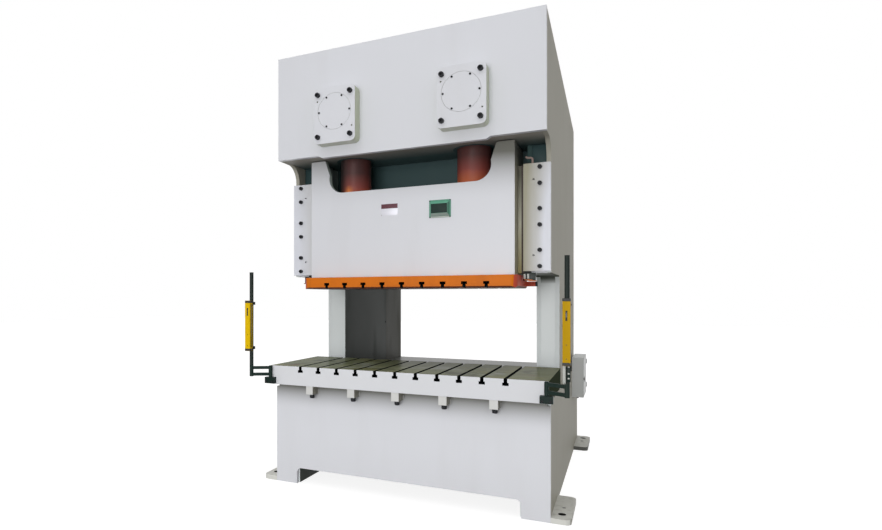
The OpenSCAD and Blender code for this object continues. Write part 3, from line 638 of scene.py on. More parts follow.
@dataclass(frozen=True)
class PrimedRod(Finish):
    """Red primer on the plungers, with oil runs, painted shade toward the crown and on the left one's side.

    Attributes:
        colour: Clean primer.
        middle: Primer in half painted shade, halfway up.
        dark: Primer in full painted shade.
        bare: Painted highlight low on the left plunger.
        low: Height where the painted shade starts.
        high: Height where the painted shade is full.
    """
    colour: Colour
    middle: Colour
    dark: Colour
    bare: Colour
    low: float
    high: float

    def dress(self, own: Surface) -> None:
        """Build the primer.

        Args:
            own: The material.
        """
        # Painted shade deepens toward the crown, sooner on the left plunger, and darkens its left side; a painted
        # highlight sits low on it.
        left = own.axis("x") < 0.0
        rise = ((own.axis("z") - self.low) / (self.high - self.low) + left * 0.22).clamp()
        run = own.runs(8.0, 0.45, 0.72, 0.12)
        turned = ((own.facing("x") * -1.0 - 0.10) / 0.5).clamp() * left
        worn = ((1.0 - abs(own.facing("x") + 0.10) / 0.35).clamp() * left
                * (1.0 - (own.axis("z") - self.low) / 0.10).clamp())
        coat = own.layers(self.colour, ((rise * 1.8 + run * 0.2).clamp(), self.middle),
                          (((rise - 0.45) * 1.6 + run * 0.15).clamp(), self.dark),
                          (worn * 0.8, self.bare), (turned * 0.8, srgb(0.13, 0.15, 0.15)))
        own.set(Base_Color=coat,
                Roughness=(0.38 + 0.2 * run).clamp(), Specular_IOR_Level=0.25,
                Normal=own.grain(120.0, 0.0002, 0.003, detail=3.0))


@dataclass(frozen=True)
class Moulded(Finish):
    """Moulded plastic or rubber with a fine grain.

    Attributes:
        colour: The plastic.
        gloss: Its roughness.
        grain: Depth of the grain in metres.
        shine: Strength of its highlights.
    """
    colour: Colour
    gloss: float = 0.45
    grain: float = 0.0002
    shine: float = 0.3

    def dress(self, own: Surface) -> None:
        """Build the plastic.

        Args:
            own: The material.
        """
        haze = own.noise(9.0, detail=4.0)
        own.set(Base_Color=own.blend(haze * 0.12, self.colour, srgb(0.55, 0.54, 0.50)),
                Roughness=(self.gloss + 0.12 * (haze - 0.5)).clamp(),
                Specular_IOR_Level=self.shine,
                Normal=own.grain(420.0, self.grain, 0.0015, 0.7))


@dataclass(frozen=True)
class ColumnPaint(Finish):
    """Dark enamel on the broad faces of a column's inner plate, lighter behind a seam.

    Attributes:
        dark: Paint of the front part.
        light: Paint of the back part.
        edge: Paint of the narrow front face.
        crown: Paint inside the crown.
        seam: Place of the seam along Y.
        split: Height where the crown's paint starts.
    """
    dark: Colour
    light: Colour
    edge: Colour
    crown: Colour
    seam: float
    split: float = 2.20

    def dress(self, own: Surface) -> None:
        """Build the three paints and the seam.

        Args:
            own: The material.
        """
        depth = own.axis("y")
        broad = abs(own.facing("x")) > 0.5
        back = depth.ramp(self.seam, self.seam + 0.01)
        line = abs(depth - self.seam) < 0.006
        cloud = own.noise(1.4, detail=4.0)
        dust = own.runs(4.0, 0.50, 0.80, 0.2)
        face = own.layers(self.dark, (dust * 0.25 + cloud * 0.10, srgb(0.36, 0.37, 0.33)),
                          (back, self.light), (line * 0.6, srgb(0.10, 0.11, 0.10)))
        own.set(Base_Color=own.layers(self.light, (own.facing("y") < -0.5, self.edge),
                                      (broad, face), (own.axis("z") > self.split, self.crown)),
                Roughness=(0.46 + 0.16 * (cloud - 0.5) + 0.2 * dust).clamp(),
                Specular_IOR_Level=0.12,
                Normal=own.grain(80.0, 0.0002, 0.003))


@dataclass(frozen=True)
class RailPaint(Finish):
    """Cream paint on a guide's front, yellowed with oil low down, darker toward the top, with a dark line along
    its outer edge.

    Attributes:
        colour: Clean paint.
        oiled: Paint yellowed by oil.
        edge: Colour of the dark line along the outer edge.
        seam: Distance of the edge from the middle of the press.
        low: Height where the oil is thickest.
        high: Height where it ends.
    """
    colour: Colour
    oiled: Colour
    edge: Colour
    seam: float
    low: float
    high: float

    def dress(self, own: Surface) -> None:
        """Build paint, oil and edge.

        Args:
            own: The material.
        """
        height = own.axis("z")
        run = own.runs(9.0, 0.40, 0.70, 0.10)
        low = 1.0 - height.ramp(self.low, self.high)
        dark = abs(own.axis("x")).ramp(self.seam, self.seam + 0.004)
        coat = own.layers(self.colour, ((low * 0.8 + run * 0.3).clamp(), self.oiled),
                          # Darker toward the top and along the outer edge.
                          (height.ramp(self.high, self.high + 0.45), srgb(0.40, 0.39, 0.33)),
                          (dark, self.edge))
        own.set(Base_Color=coat,
                Roughness=(0.34 + 0.2 * run).clamp(), Specular_IOR_Level=0.3,
                Normal=own.grain(90.0, 0.0002, 0.002))


@dataclass(frozen=True)
class CeilingPaint(Finish):
    """Enamel under the crown, pale along its front edge and dark green behind.

    Attributes:
        front: Paint along the front edge.
        back: Paint behind it.
        start: Place along Y where the front paint starts to end.
        reach: Length over which it ends.
    """
    front: Colour
    back: Colour
    start: float
    reach: float

    def dress(self, own: Surface) -> None:
        """Build the two paints.

        Args:
            own: The material.
        """
        cloud = own.noise(5.0, detail=4.0)
        behind = ((own.axis("y") - self.start + 0.05 * (cloud - 0.5)) / self.reach).clamp()
        own.set(Base_Color=own.blend(behind, self.front, self.back),
                Roughness=(0.50 + 0.2 * (cloud - 0.5)).clamp(), Specular_IOR_Level=0.1,
                Normal=own.grain(80.0, 0.0002, 0.003))


@dataclass(frozen=True)
class GibPaint(Finish):
    """Pale enamel on a gib plate, with oil runs and painted shade toward the slide and the top.

    Attributes:
        colour: Clean paint.
        oil_and_shade: Paint under the oil runs and the painted shade.
        inner: Distance of the plate's inner edge from the middle of the press.
        width: Width of the plate.
        top: Height of the plate's upper end.
        left: Strength of the painted shade on the left plate.
    """
    colour: Colour
    oil_and_shade: Colour
    inner: float
    width: float
    top: float
    left: float = 0.25

    def dress(self, own: Surface) -> None:
        """Build paint, painted shade and fine oil runs.

        Args:
            own: The material.
        """
        across = abs(own.axis("x")).ramp(self.inner, self.inner + self.width)
        down = ((self.top - own.axis("z")) / 0.55).clamp()
        run = own.runs(14.0, 0.46, 0.76, 0.06)
        cloud = own.noise(4.0, detail=3.0)
        # Painted shade: warmer and darker toward the slide and the top, and stronger on the right plate.
        oiled = (1.05 - 0.90 * across - 0.50 * across * down + run * 0.25 * (1.0 - across)
                 + 0.2 * (cloud - 0.5)).clamp()
        share = own.axis("x") > 0.0
        share = share + (1.0 - share) * self.left
        coat = own.blend((oiled * share).clamp(), self.colour, self.oil_and_shade)
        own.set(Base_Color=coat, Roughness=(0.34 + 0.2 * oiled).clamp(), Specular_IOR_Level=0.3,
                Normal=own.grain(90.0, 0.0002, 0.004))


@dataclass(frozen=True)
class FootPaint(Finish):
    """Worn enamel on the feet, with painted shade on their sides, on the rear feet and in the bores.

    Attributes:
        colour: The paint.
        worn: Colour of scuffs and wear, also painted shade on the side faces and the rear feet.
        bore_shade: Colour inside the bores and on the rear feet's side faces, painted shade.
    """
    colour: Colour
    worn: Colour
    bore_shade: Colour

    def dress(self, own: Surface) -> None:
        """Build paint, wear and painted shade.

        Args:
            own: The material.
        """
        hole = anchor_field(own, 1.06)
        wall = abs(own.facing("z")) < 0.5
        rear = own.axis("y") > 0.0
        cloud = own.noise(7.0, detail=5.0, roughness=0.65)
        scuff = own.spots(16.0, 0.52, 0.72, detail=5.0)
        clean = (1.0 - 0.8 * (own.axis("x") < 0.0)) * (1.0 - (own.facing("y") < -0.5))
        # Side faces darken with painted shade along with real scuffs; the rear feet and the bores are painted dark
        # as shade.
        wear = ((scuff * 0.3 + cloud * 0.3 + wall * 0.45) * clean).clamp()
        own.set(Base_Color=own.layers(self.colour, (wear, self.worn), (rear * 0.35, self.worn),
                                      (rear * wall * 0.8, self.bore_shade), (hole * wall, self.bore_shade)),
                Roughness=(0.44 + 0.2 * scuff).clamp(), Specular_IOR_Level=0.25,
                Normal=own.grain(60.0, 0.0004, 0.004, detail=3.0))


@dataclass(frozen=True)
class HoodFinish(Finish):
    """Green moulding of the display's hood, with a painted highlight on top, a painted reflection below and
    painted shade on the right.

    Attributes:
        colour: The plastic.
        lit_top: Its top slope, painted highlight.
        dusty: Its bottom slope, pale grey as a painted reflection.
        deep: Its right slope, painted shade.
    """
    colour: Colour
    lit_top: Colour
    dusty: Colour
    deep: Colour

    def dress(self, own: Surface) -> None:
        """Build the moulding.

        Args:
            own: The material.
        """
        haze = own.noise(40.0, detail=4.0)
        # Slopes coloured by the way they face: painted highlight on top, painted reflection below, painted shade
        # on the right.
        tone = own.layers(self.colour, (own.facing("z") > 0.3, self.lit_top),
                          (own.facing("z") < -0.3, self.dusty), (own.facing("x") > 0.3, self.deep),
                          (haze * 0.15, srgb(0.50, 0.55, 0.50)))
        own.set(Base_Color=tone,
                Roughness=(0.40 + 0.12 * (haze - 0.5)).clamp(), Specular_IOR_Level=0.3,
                Normal=own.grain(420.0, 0.0002, 0.0015, 0.7))


@dataclass(frozen=True)
class CurtainPaint(Finish):
    """Yellow housing with dark clamps behind it, on one node.

    Attributes:
        colour: Paint of the housing.
        clamp: Colour of the clamps and collars.
        split: Place along Y where the housing ends.
    """
    colour: Colour
    clamp: Colour = srgb(0.13, 0.15, 0.14)
    split: float = -1.9836

    def dress(self, own: Surface) -> None:
        """Build the paint and the clamps.

        Args:
            own: The material.
        """
        behind = own.axis("y") > self.split
        cloud = own.noise(3.0, detail=4.0)
        grime = own.runs(5.0, 0.50, 0.76, 0.15)
        coat = own.blend((cloud * 0.10 + grime * 0.14).clamp(), self.colour, srgb(0.45, 0.36, 0.08))
        clamp = own.blend(grime * 0.3, self.clamp, srgb(0.30, 0.31, 0.28))
        own.set(Base_Color=own.blend(behind, coat, clamp),
                Roughness=(0.42 + 0.16 * (cloud - 0.5) + 0.15 * grime).clamp(),
                Specular_IOR_Level=0.06,
                Normal=own.grain(160.0, 0.0001, 0.002))


@dataclass(frozen=True)
class ArmPaint(Finish):
    """Dark green arms carrying lighter grey posts, on one node.

    Attributes:
        colour: Paint of the arms.
        post: Paint of the posts.
        top: Height of the arms' top faces.
    """
    colour: Colour
    post: Colour
    top: float

    def dress(self, own: Surface) -> None:
        """Build the two paints.

        Args:
            own: The material.
        """
        above = own.axis("z") > self.top + 0.004
        cloud = own.noise(3.0, detail=4.0)
        grime = own.runs(5.0, 0.50, 0.76, 0.2)
        own.set(Base_Color=own.layers(self.colour, (above, self.post),
                                      ((cloud * 0.08 + grime * 0.12).clamp(), GREY_DUST)),
                Roughness=(0.38 + 0.16 * (cloud - 0.5) + 0.15 * grime).clamp(),
                Specular_IOR_Level=0.12,
                Normal=own.grain(160.0, 0.0001, 0.002))


CLEAN = srgb(0.845, 0.85, 0.87)
BRIGHT = srgb(0.885, 0.905, 0.905)
SHADED = srgb(0.66, 0.65, 0.605)
MATT = {"gloss": 0.5, "dusty": 0.16, "shine": 0.05}


class Finishes:
    """Every finish of the press."""
    WHITE = SprayedPaint("white_enamel", CLEAN)
    # The cover's downward and side faces take painted shade.
    COVER = SprayedPaint("cover_enamel", CLEAN, under=srgb(0.76, 0.77, 0.71),
                         side_shade=srgb(0.755, 0.78, 0.69))
    # The lugs' downward and side faces take painted shade.
    LUG = SprayedPaint("lug_enamel", srgb(0.845, 0.845, 0.835), under=srgb(0.66, 0.65, 0.6),
                       side_shade=srgb(0.52, 0.51, 0.46), dusty=0.2)
    GIB = GibPaint("gib_enamel", srgb(0.86, 0.868, 0.9), srgb(0.65, 0.635, 0.555),
                   1.084, 0.236, 3.138)
    # Painted shadow under the bolster: the base's front darkens toward its top.
    BASE = SprayedPaint("base_enamel", srgb(0.89, 0.895, 0.915), painted_shadow=srgb(0.46, 0.46, 0.44),
                        rise=(0.76, 1.00))
    # A darker copy of the machine's paint, painted shade for the rear plates and louvres.
    SIDE = SprayedPaint("shaded_side_enamel", srgb(0.705, 0.696, 0.658), **MATT)
    # Side plates: the shaded tone overall, the lit tone on front faces, deeper painted shade below, and painted
    # shade on every face above 2.3 m.
    FLANK = SprayedPaint("side_plate_enamel", SHADED, under=srgb(0.4, 0.41, 0.37),
                         front=BRIGHT, painted_shadow=SHADED, rise=(2.3, 2.31), **MATT)
    # Weld beads in the shaded tone with the lit tone on front faces: painted shade.
    BEAD = SprayedPaint("weld_enamel", SHADED, front=CLEAN, edge=0.001, **MATT)
    # The throat's downward faces take painted shade.
    THROAT = SprayedPaint("throat_enamel", BRIGHT, under=srgb(0.3, 0.32, 0.28))
    # The slide's side and inward faces take painted shade, and a painted shadow from the crown darkens its top,
    # more on the right.
    SLIDE = SprayedPaint("slide_enamel", srgb(0.85, 0.855, 0.875), side_shade=srgb(0.61, 0.6, 0.52),
                         inward_shade=srgb(0.8, 0.87, 0.85), painted_shadow=srgb(0.4, 0.4, 0.37),
                         rise=(2.8, 3.335), lean=0.5)
    FOOT = FootPaint("foot_enamel", srgb(0.875, 0.875, 0.85), srgb(0.56, 0.55, 0.5),
                     srgb(0.14, 0.14, 0.13))
    CABINET = SprayedPaint("cabinet_enamel", srgb(0.825, 0.835, 0.83), gloss=0.42, edge=0.002)
    INNER = SprayedPaint("crown_inner_enamel", srgb(0.205, 0.29, 0.295), gloss=0.5,
                         dust=srgb(0.34, 0.38, 0.36), dusty=0.16, shine=0.2)
    CEILING = CeilingPaint("crown_floor_enamel", srgb(0.62, 0.6, 0.57),
                           srgb(0.285, 0.365, 0.365), -1.63, 0.4)
    BRACKET = SprayedPaint("bracket_enamel", srgb(0.05, 0.13, 0.112), dust=GREY_DUST,
                           edge=0.002, shine=0.12)
    GREASY = SprayedPaint("grease_block_enamel", srgb(0.085, 0.115, 0.1), gloss=0.42,
                          dust=srgb(0.3, 0.3, 0.24), dusty=0.2, edge=0.002)
    ARM = ArmPaint("arm_enamel", srgb(0.06, 0.145, 0.125), srgb(0.1, 0.14, 0.128), 1.221)
    ORANGE = SlidePlateFinish("slide_plate_finish", srgb(0.84, 0.44, 0.045),
                              srgb(0.44, 0.22, 0.12), srgb(0.27, 0.27, 0.27), 2.005)
    CURTAIN_LEFT = CurtainPaint("left_curtain_coat", srgb(0.925, 0.765, 0.03))
    # The right sensor's yellow is a darker copy of the left one's: painted shade.
    CURTAIN_RIGHT_SHADED = CurtainPaint("right_curtain_shaded_coat", srgb(0.78, 0.615, 0.035))
    MOTOR = SprayedPaint("motor_enamel", srgb(0.16, 0.2, 0.2), gloss=0.42,
                         dust=srgb(0.4, 0.4, 0.36), dusty=0.25)
    COLUMN = ColumnPaint("column_enamel", srgb(0.165, 0.2, 0.18), srgb(0.25, 0.25, 0.215),
                         BRIGHT, srgb(0.23, 0.32, 0.315), 0.863)
    BOLSTER = BolsterFinish("bolster_finish", srgb(0.895, 0.9, 0.915), 1.22, 1.35)
    PLUNGER = PrimedRod("plunger_primer", srgb(0.7, 0.36, 0.19), srgb(0.52, 0.25, 0.22),
                        srgb(0.27, 0.17, 0.165), srgb(1.00, 0.62, 0.26), 2.98, 3.26)
    STEEL = WorkedSteel("ground_steel_finish", srgb(0.66, 0.66, 0.65))
    RAIL = RailPaint("rail_enamel", srgb(0.8, 0.79, 0.71), srgb(0.64, 0.59, 0.37),
                     srgb(0.2, 0.13, 0.09), 1.058, 2.15, 2.6)
    PIN = WorkedSteel("pin_steel_finish", srgb(0.4, 0.39, 0.38), gloss=0.62, metal=0.35)
    FORGED = WorkedSteel("forged_steel_finish", srgb(0.42, 0.42, 0.43), gloss=0.42, metal=0.85)
    BRONZE = WorkedSteel("bearing_bronze", srgb(0.72, 0.56, 0.3), gloss=0.34)
    BLACK = Blackened("black_screw_finish")
    RUBBER = Moulded("black_rubber", srgb(0.09, 0.09, 0.095), gloss=0.62)
    CAP = Moulded("black_cap", srgb(0.1, 0.105, 0.11), gloss=0.46)
    LENS = Moulded("dark_lens", srgb(0.05, 0.045, 0.05), gloss=0.16, grain=0.00002)
    GREEN = HoodFinish("green_hood", srgb(0.31, 0.56, 0.47), srgb(0.37, 0.68, 0.56),
                       srgb(0.59, 0.66, 0.63), srgb(0.3, 0.52, 0.44))
    PALE = Moulded("pale_fitting", srgb(0.76, 0.77, 0.75), gloss=0.42)
    BLUSH = Moulded("red_fitting", srgb(0.56, 0.48, 0.455), gloss=0.4)
    SCREEN = Moulded("screen_glass", srgb(0.055, 0.165, 0.15), gloss=0.5, grain=0.00002,
                     shine=0.12)
    PLATE = WorkedSteel("label_plate", srgb(0.83, 0.83, 0.86), gloss=0.42, metal=0.25,
                        lines=(1.0, 1.0, 8.0))
    STRIPE = Moulded("label_stripe", srgb(0.36, 0.17, 0.22), gloss=0.5)
    COPPER = WorkedSteel("copper_pipe", srgb(0.66, 0.4, 0.26), gloss=0.3)


# ------------------------------------------------------------------ mesh building

def place(name: str, data: bpy.types.ID) -> bpy.types.Object:
    """Put a new object in the scene.

    Args:
        name: Its name.
        data: Its mesh, camera or light.

    Returns:
        The object.
    """
    made = bpy.data.objects.new(name, data)
    bpy.context.scene.collection.objects.link(made)
    return made


def settle(made: bpy.types.Object, body: str, finish: Finish) -> bpy.types.Object:
    """Dress a finished object and let it ride on its body.

    Args:
        made: The object.
        body: The CAD body it moves with.
        finish: What it is dressed in.

    Returns:
        The same object.
    """
    made.data.materials.clear()
    made.data.materials.append(finish.material())
    made.data.shade_smooth()
    made.data.set_sharp_from_angle(angle=SMOOTH_UP_TO)
    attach(made, body)
    LOG.info("%s on %s, %d faces", made.name, body, len(made.data.polygons))
    return made


class Form:
    """A mesh under construction."""

    def __init__(self) -> None:
        """Start empty."""
        self.mesh = bmesh.new()

    def _round(self, verts: Sequence[bmesh.types.BMVert], edge: float, steps: int = 2) -> "Form":
        """Round the edges of the verts just made.

        Args:
            verts: The verts.
            edge: Radius of the rounding, or 0 for none.
            steps: Flats across it.

        Returns:
            The form.
        """
        if edge > 0:
            edges = {e for v in verts for e in v.link_edges
                     if len(e.link_faces) == 2 and e.calc_face_angle(0.0) > ROUND_OVER}
            bmesh.ops.bevel(self.mesh, geom=list(edges), offset=edge, segments=steps,
                            profile=0.5, affect="EDGES")
        return self

    def block(self, low: Sequence[float], high: Sequence[float], edge: float = 0.0,
              steps: int = 2) -> "Form":
        """Add a box with rounded edges.

        Args:
            low: Its lowest corner.
            high: Its highest corner.
            edge: Radius of its edges.
            steps: Flats across them.

        Returns:
            The form.
        """
        size = [h - l for l, h in zip(low, high)]
        middle = [(h + l) / 2 for l, h in zip(low, high)]
        made = bmesh.ops.create_cube(self.mesh, size=1.0, matrix=Matrix.Translation(middle)
                                     @ Matrix.Diagonal((*size, 1.0)))
        return self._round(made["verts"], edge, steps)

    def disc(self, centre: Sequence[float], axis: Axis, radius: float, depth: float,
             sides: int = 32, edge: float = 0.0) -> "Form":
        """Add a cylinder or a prism with rounded rims.

        Args:
            centre: Its middle.
            axis: Direction it stands along.
            radius: Its radius over the corners.
            depth: Its length.
            sides: Number of its sides.
            edge: Radius of its rims.

        Returns:
            The form.
        """
        made = bmesh.ops.create_cone(
            self.mesh, cap_ends=True, segments=sides, radius1=radius, radius2=radius,
            depth=depth, matrix=Matrix.Translation(centre) @ axis.frame())
        return self._round(made["verts"], edge)

    def skin(self, name: str) -> bpy.types.Mesh:
        """End the form as a plain mesh, its faces turned outwards.

        Args:
            name: The mesh's name.

        Returns:
            The mesh.
        """
        bmesh.ops.recalc_face_normals(self.mesh, faces=self.mesh.faces[:])
        data = bpy.data.meshes.new(name)
        self.mesh.to_mesh(data)
        self.mesh.free()
        return data

    def piece(self, name: str, body: str, slot: str, finish: Finish) -> bpy.types.Object:
        """Turn the form into a piece that rides on a body.

        Args:
            name: The piece's name.
            body: The CAD body it moves with.
            slot: The record's material slot; not used.
            finish: What it is dressed in.

        Returns:
            The object.
        """
        return settle(place(name, self.skin(name)), body, finish)


class Tree(Graph):
    """A Geometry Nodes tree with named inputs, turned into plain pieces of one finish."""

    def __init__(self, name: str, finish: Finish) -> None:
        """Start a tree with a geometry input and output.

        Args:
            name: The tree's name.
            finish: What its pieces are dressed in.
        """
        tree = bpy.data.node_groups.new(name, "GeometryNodeTree")
        super().__init__(tree)
        for way in ("INPUT", "OUTPUT"):
            tree.interface.new_socket("Geometry", in_out=way, socket_type="NodeSocketGeometry")
        self.entry = tree.nodes.new("NodeGroupInput")
        self.exit = tree.nodes.new("NodeGroupOutput")
        self.keys: dict[str, str] = {}
        self.finish = finish

    @property
    def geometry(self) -> Socket:
        """The host's geometry."""
        return self.entry.outputs["Geometry"]

    def sizes(self, *names: str, kind: str = "Float") -> list[Value]:
        """Add named inputs.

        Args:
            names: Their names.
            kind: Float, Int or Vector.

        Returns:
            The inputs.
        """
        for name in names:
            made = self.tree.interface.new_socket(name, in_out="INPUT",
                                                  socket_type=f"NodeSocket{kind}")
            self.keys[name] = made.identifier
        return [Value(self, self.entry.outputs[name]) for name in names]

    def vector(self, **parts: Number) -> bpy.types.Node:
        """Join numbers named X, Y and Z into a vector."""
        return self.node("ShaderNodeCombineXYZ", parts)

    def edges(self) -> bpy.types.Node:
        """The host's edges as curves."""
        return self.node("GeometryNodeMeshToCurve", {"Mesh": self.geometry})

    def sweep(self, curve: bpy.types.Node, radius: Value, sides: int, **scale: object
              ) -> bpy.types.Node:
        """Run a round profile along a curve, with closed ends.

        Args:
            curve: The curve.
            radius: Radius of the profile.
            sides: Number of its sides.
            scale: The input Scale, where the profile's size changes on the way.

        Returns:
            The node.
        """
        ring = self.node("GeometryNodeCurvePrimitiveCircle",
                         {"Resolution": sides, "Radius": radius}, mode="RADIUS")
        return self.node("GeometryNodeCurveToMesh", {
            "Curve": curve, "Profile Curve": ring, "Fill Caps": True, **scale})

    def copies(self, points: object, shape: bpy.types.Node, turn: object) -> bpy.types.Node:
        """Set a turned copy of a shape on each point.

        Args:
            points: The points.
            shape: The shape.
            turn: The copies' turn about X, Y and Z.

        Returns:
            The node.
        """
        spin = self.node("FunctionNodeEulerToRotation", {0: turn})
        return self.node("GeometryNodeInstanceOnPoints", {
            "Points": points, "Instance": shape, "Rotation": spin})

    def close(self, geometry: bpy.types.Node) -> "Tree":
        """End the tree in Realize Instances and Set Material.

        Args:
            geometry: The last node before them.

        Returns:
            The tree.
        """
        real = self.node("GeometryNodeRealizeInstances", {"Geometry": geometry})
        dressed = self.node("GeometryNodeSetMaterial", {
            "Geometry": real, "Material": self.finish.material()})
        self.feed(self.exit.inputs[0], dressed)
        return self

    def piece(self, name: str, host: bpy.types.Mesh, sizes: dict[str, object], body: str,
              slot: str) -> bpy.types.Object:
        """Run the tree on a host mesh and keep the result as a plain piece.

        Args:
            name: The piece's name.
            host: Points or edges the tree works on.
            sizes: The tree's inputs by name.
            body: The CAD body it moves with.
            slot: The record's material slot; not used.

        Returns:
            The object.
        """
        made = place(name, host)
        shape = made.modifiers.new("shape", "NODES")
        shape.node_group = self.tree
        for key, value in sizes.items():
            shape[self.keys[key]] = value
        graph = bpy.context.evaluated_depsgraph_get()
        plain = bpy.data.meshes.new_from_object(made.evaluated_get(graph), depsgraph=graph)
        made.modifiers.remove(shape)
        made.data = plain
        return settle(made, body, self.finish)


def host_lines(lines: Sequence[Sequence[Point]]) -> bpy.types.Mesh:
    """Mesh of loose edges along some polylines, or of loose points.

    Args:
        lines: The polylines. One of a single point gives that point.

    Returns:
        The mesh.
    """
    verts: list[Point] = []
    edges: list[tuple[int, int]] = []
    for line in lines:
        start = len(verts)
        verts += [tuple(p) for p in line]
        edges += [(start + i, start + i + 1) for i in range(len(line) - 1)]
    data = bpy.data.meshes.new("host")
    data.from_pydata(verts, edges, [])
    return data


def host_points(points: Sequence[Point]) -> bpy.types.Mesh:
    """Mesh of loose points."""
    return host_lines([[point] for point in points])


def weld_tree(finish: Finish, waves: float = 14.0) -> Tree:
    """Tree that runs a rippled weld bead along the host's edges.

    Args:
        finish: The paint over the bead.
        waves: Swellings of the bead in a metre.

    Returns:
        The tree, with inputs Radius, Pitch and Seed.
    """
    own = Tree("weld_bead", finish)
    radius, pitch, seed = own.sizes("Radius", "Pitch", "Seed")
    even = own.node("GeometryNodeResampleCurve", {"Curve": own.edges(), "Length": pitch},
                    mode="LENGTH")
    step = own.value("GeometryNodeInputIndex")
    wander = own.value("ShaderNodeTexNoise", {"W": seed, "Scale": waves, "Detail": 1.0},
                       noise_dimensions="4D")
    ripple = 0.9 + 0.10 * (step * 1.57).sine() + 0.35 * (wander - 0.5)
    thick = own.node("GeometryNodeSetCurveRadius", {"Curve": even, "Radius": ripple})
    return own.close(own.sweep(thick, radius, 6, Scale=own.node("GeometryNodeInputRadius")))


def pipe_tree(finish: Finish) -> Tree:
    """Tree that runs a smooth pipe along the host's edges, bent at its corners.

    Args:
        finish: The pipe's finish.

    Returns:
        The tree, with inputs Radius and Bend.
    """
    own = Tree("pipe_run", finish)
    radius, bend = own.sizes("Radius", "Bend")
    soft = own.node("GeometryNodeFilletCurve", {
        "Curve": own.edges(), "Radius": bend, "Count": 6, "Limit Radius": True}, mode="POLY")
    return own.close(own.sweep(soft, radius, 10))


def screw_tree(finish: Finish, sides: int = 20, rim: float = 0.18, slope: float = 0.82,
               key: float = 0.52, deep: float = 0.55) -> Tree:
    """Tree that puts a socket screw head on each point of the host.

    Args:
        finish: The screws' finish.
        sides: Sides of a head.
        rim: Height of its sloped rim, as a share of the head's.
        slope: Radius where the rim ends, as a share of the head's.
        key: Radius of its socket, as a share of the head's.
        deep: Height of the socket's middle over the head's, as a share of the head's height.

    Returns:
        The tree, with inputs Radius, Height and Turn, the turn of +Z onto the screw's axis.
    """
    own = Tree("socket_screws", finish)
    radius, height = own.sizes("Radius", "Height")
    turn, = own.sizes("Turn", kind="Vector")
    head = own.node("GeometryNodeMeshCylinder", {
        "Vertices": sides, "Radius": radius, "Depth": height})
    cone = own.node("GeometryNodeMeshCone", {
        "Vertices": sides, "Radius Top": radius * slope, "Radius Bottom": radius,
        "Depth": height * rim})
    lifted = own.node("GeometryNodeTransform", {
        "Geometry": cone, "Translation": own.vector(Z=height * 0.5)})
    socket = own.node("GeometryNodeMeshCylinder", {
        "Vertices": 6, "Radius": radius * key, "Depth": height})
    sunk = own.node("GeometryNodeTransform", {
        "Geometry": socket, "Translation": own.vector(Z=height * deep)})
    whole = own.node("GeometryNodeMeshBoolean", {"Mesh 2": head}, operation="UNION")
    own.feed(whole.inputs["Mesh 2"], lifted)
    cut = own.node("GeometryNodeMeshBoolean", {"Mesh 1": whole, "Mesh 2": sunk},
                   operation="DIFFERENCE")
    return own.close(own.copies(own.geometry, cut, turn))


def blade_tree(finish: Finish) -> Tree:
    """Tree that puts a slanted louvre blade on each point of the host.

    Args:
        finish: The blades' paint.

    Returns:
        The tree, with inputs Length, Depth, Thickness and Slant.
    """
    own = Tree("louvre_blades", finish)
    length, depth, thickness, slant = own.sizes("Length", "Depth", "Thickness", "Slant")
    blade = own.node("GeometryNodeMeshCube", {
        "Size": own.vector(X=length, Y=depth, Z=thickness), "Vertices Y": 4})
    return own.close(own.copies(own.geometry, blade, own.vector(X=slant)))


def fin_tree(finish: Finish) -> Tree:
    """Tree that sets cooling fins round an axis along Y, one on each point of a circle.

    Args:
        finish: The fins' paint.

    Returns:
        The tree, with inputs Count, Ring, Length, Height and Thickness. The host is one point.
    """
    own = Tree("cooling_fins", finish)
    count, = own.sizes("Count", kind="Int")
    ring, length, height, thickness = own.sizes("Ring", "Length", "Height", "Thickness")
    circle = own.node("GeometryNodeMeshCircle", {"Vertices": count, "Radius": ring})
    fin = own.node("GeometryNodeMeshCube", {
        "Size": own.vector(X=height, Y=thickness, Z=length)})
    angle = own.value("GeometryNodeInputIndex") * (2 * math.pi) / count
    around = own.copies(circle, fin, own.vector(Z=angle))
    return own.close(own.copies(own.geometry, around, Look.FRONT.value))


def screws(name: str, spots: Sequence[Point], radius: float, height: float, look: Look,
           body: str, slot: str = "black_oxide", finish: Finish = Finishes.BLACK) -> None:
    """Set one piece of socket screws.

    Args:
        name: The piece's name.
        spots: Middles of the heads.
        radius: A head's radius.
        height: A head's height.
        look: Side the heads look to.
        body: The CAD body they move with.
        slot: The record's material slot; not used.
        finish: What they are dressed in.
    """
    screw_tree(finish).piece(name, host_points(spots), {
        "Radius": radius, "Height": height, "Turn": look.value}, body, slot)


def span(s: int, near: float, far: float) -> tuple[float, float]:
    """Lowest and highest X of what lies between two distances from the middle on side s."""
    return min(s * near, s * far), max(s * near, s * far)


# ------------------------------------------------------------------ the press

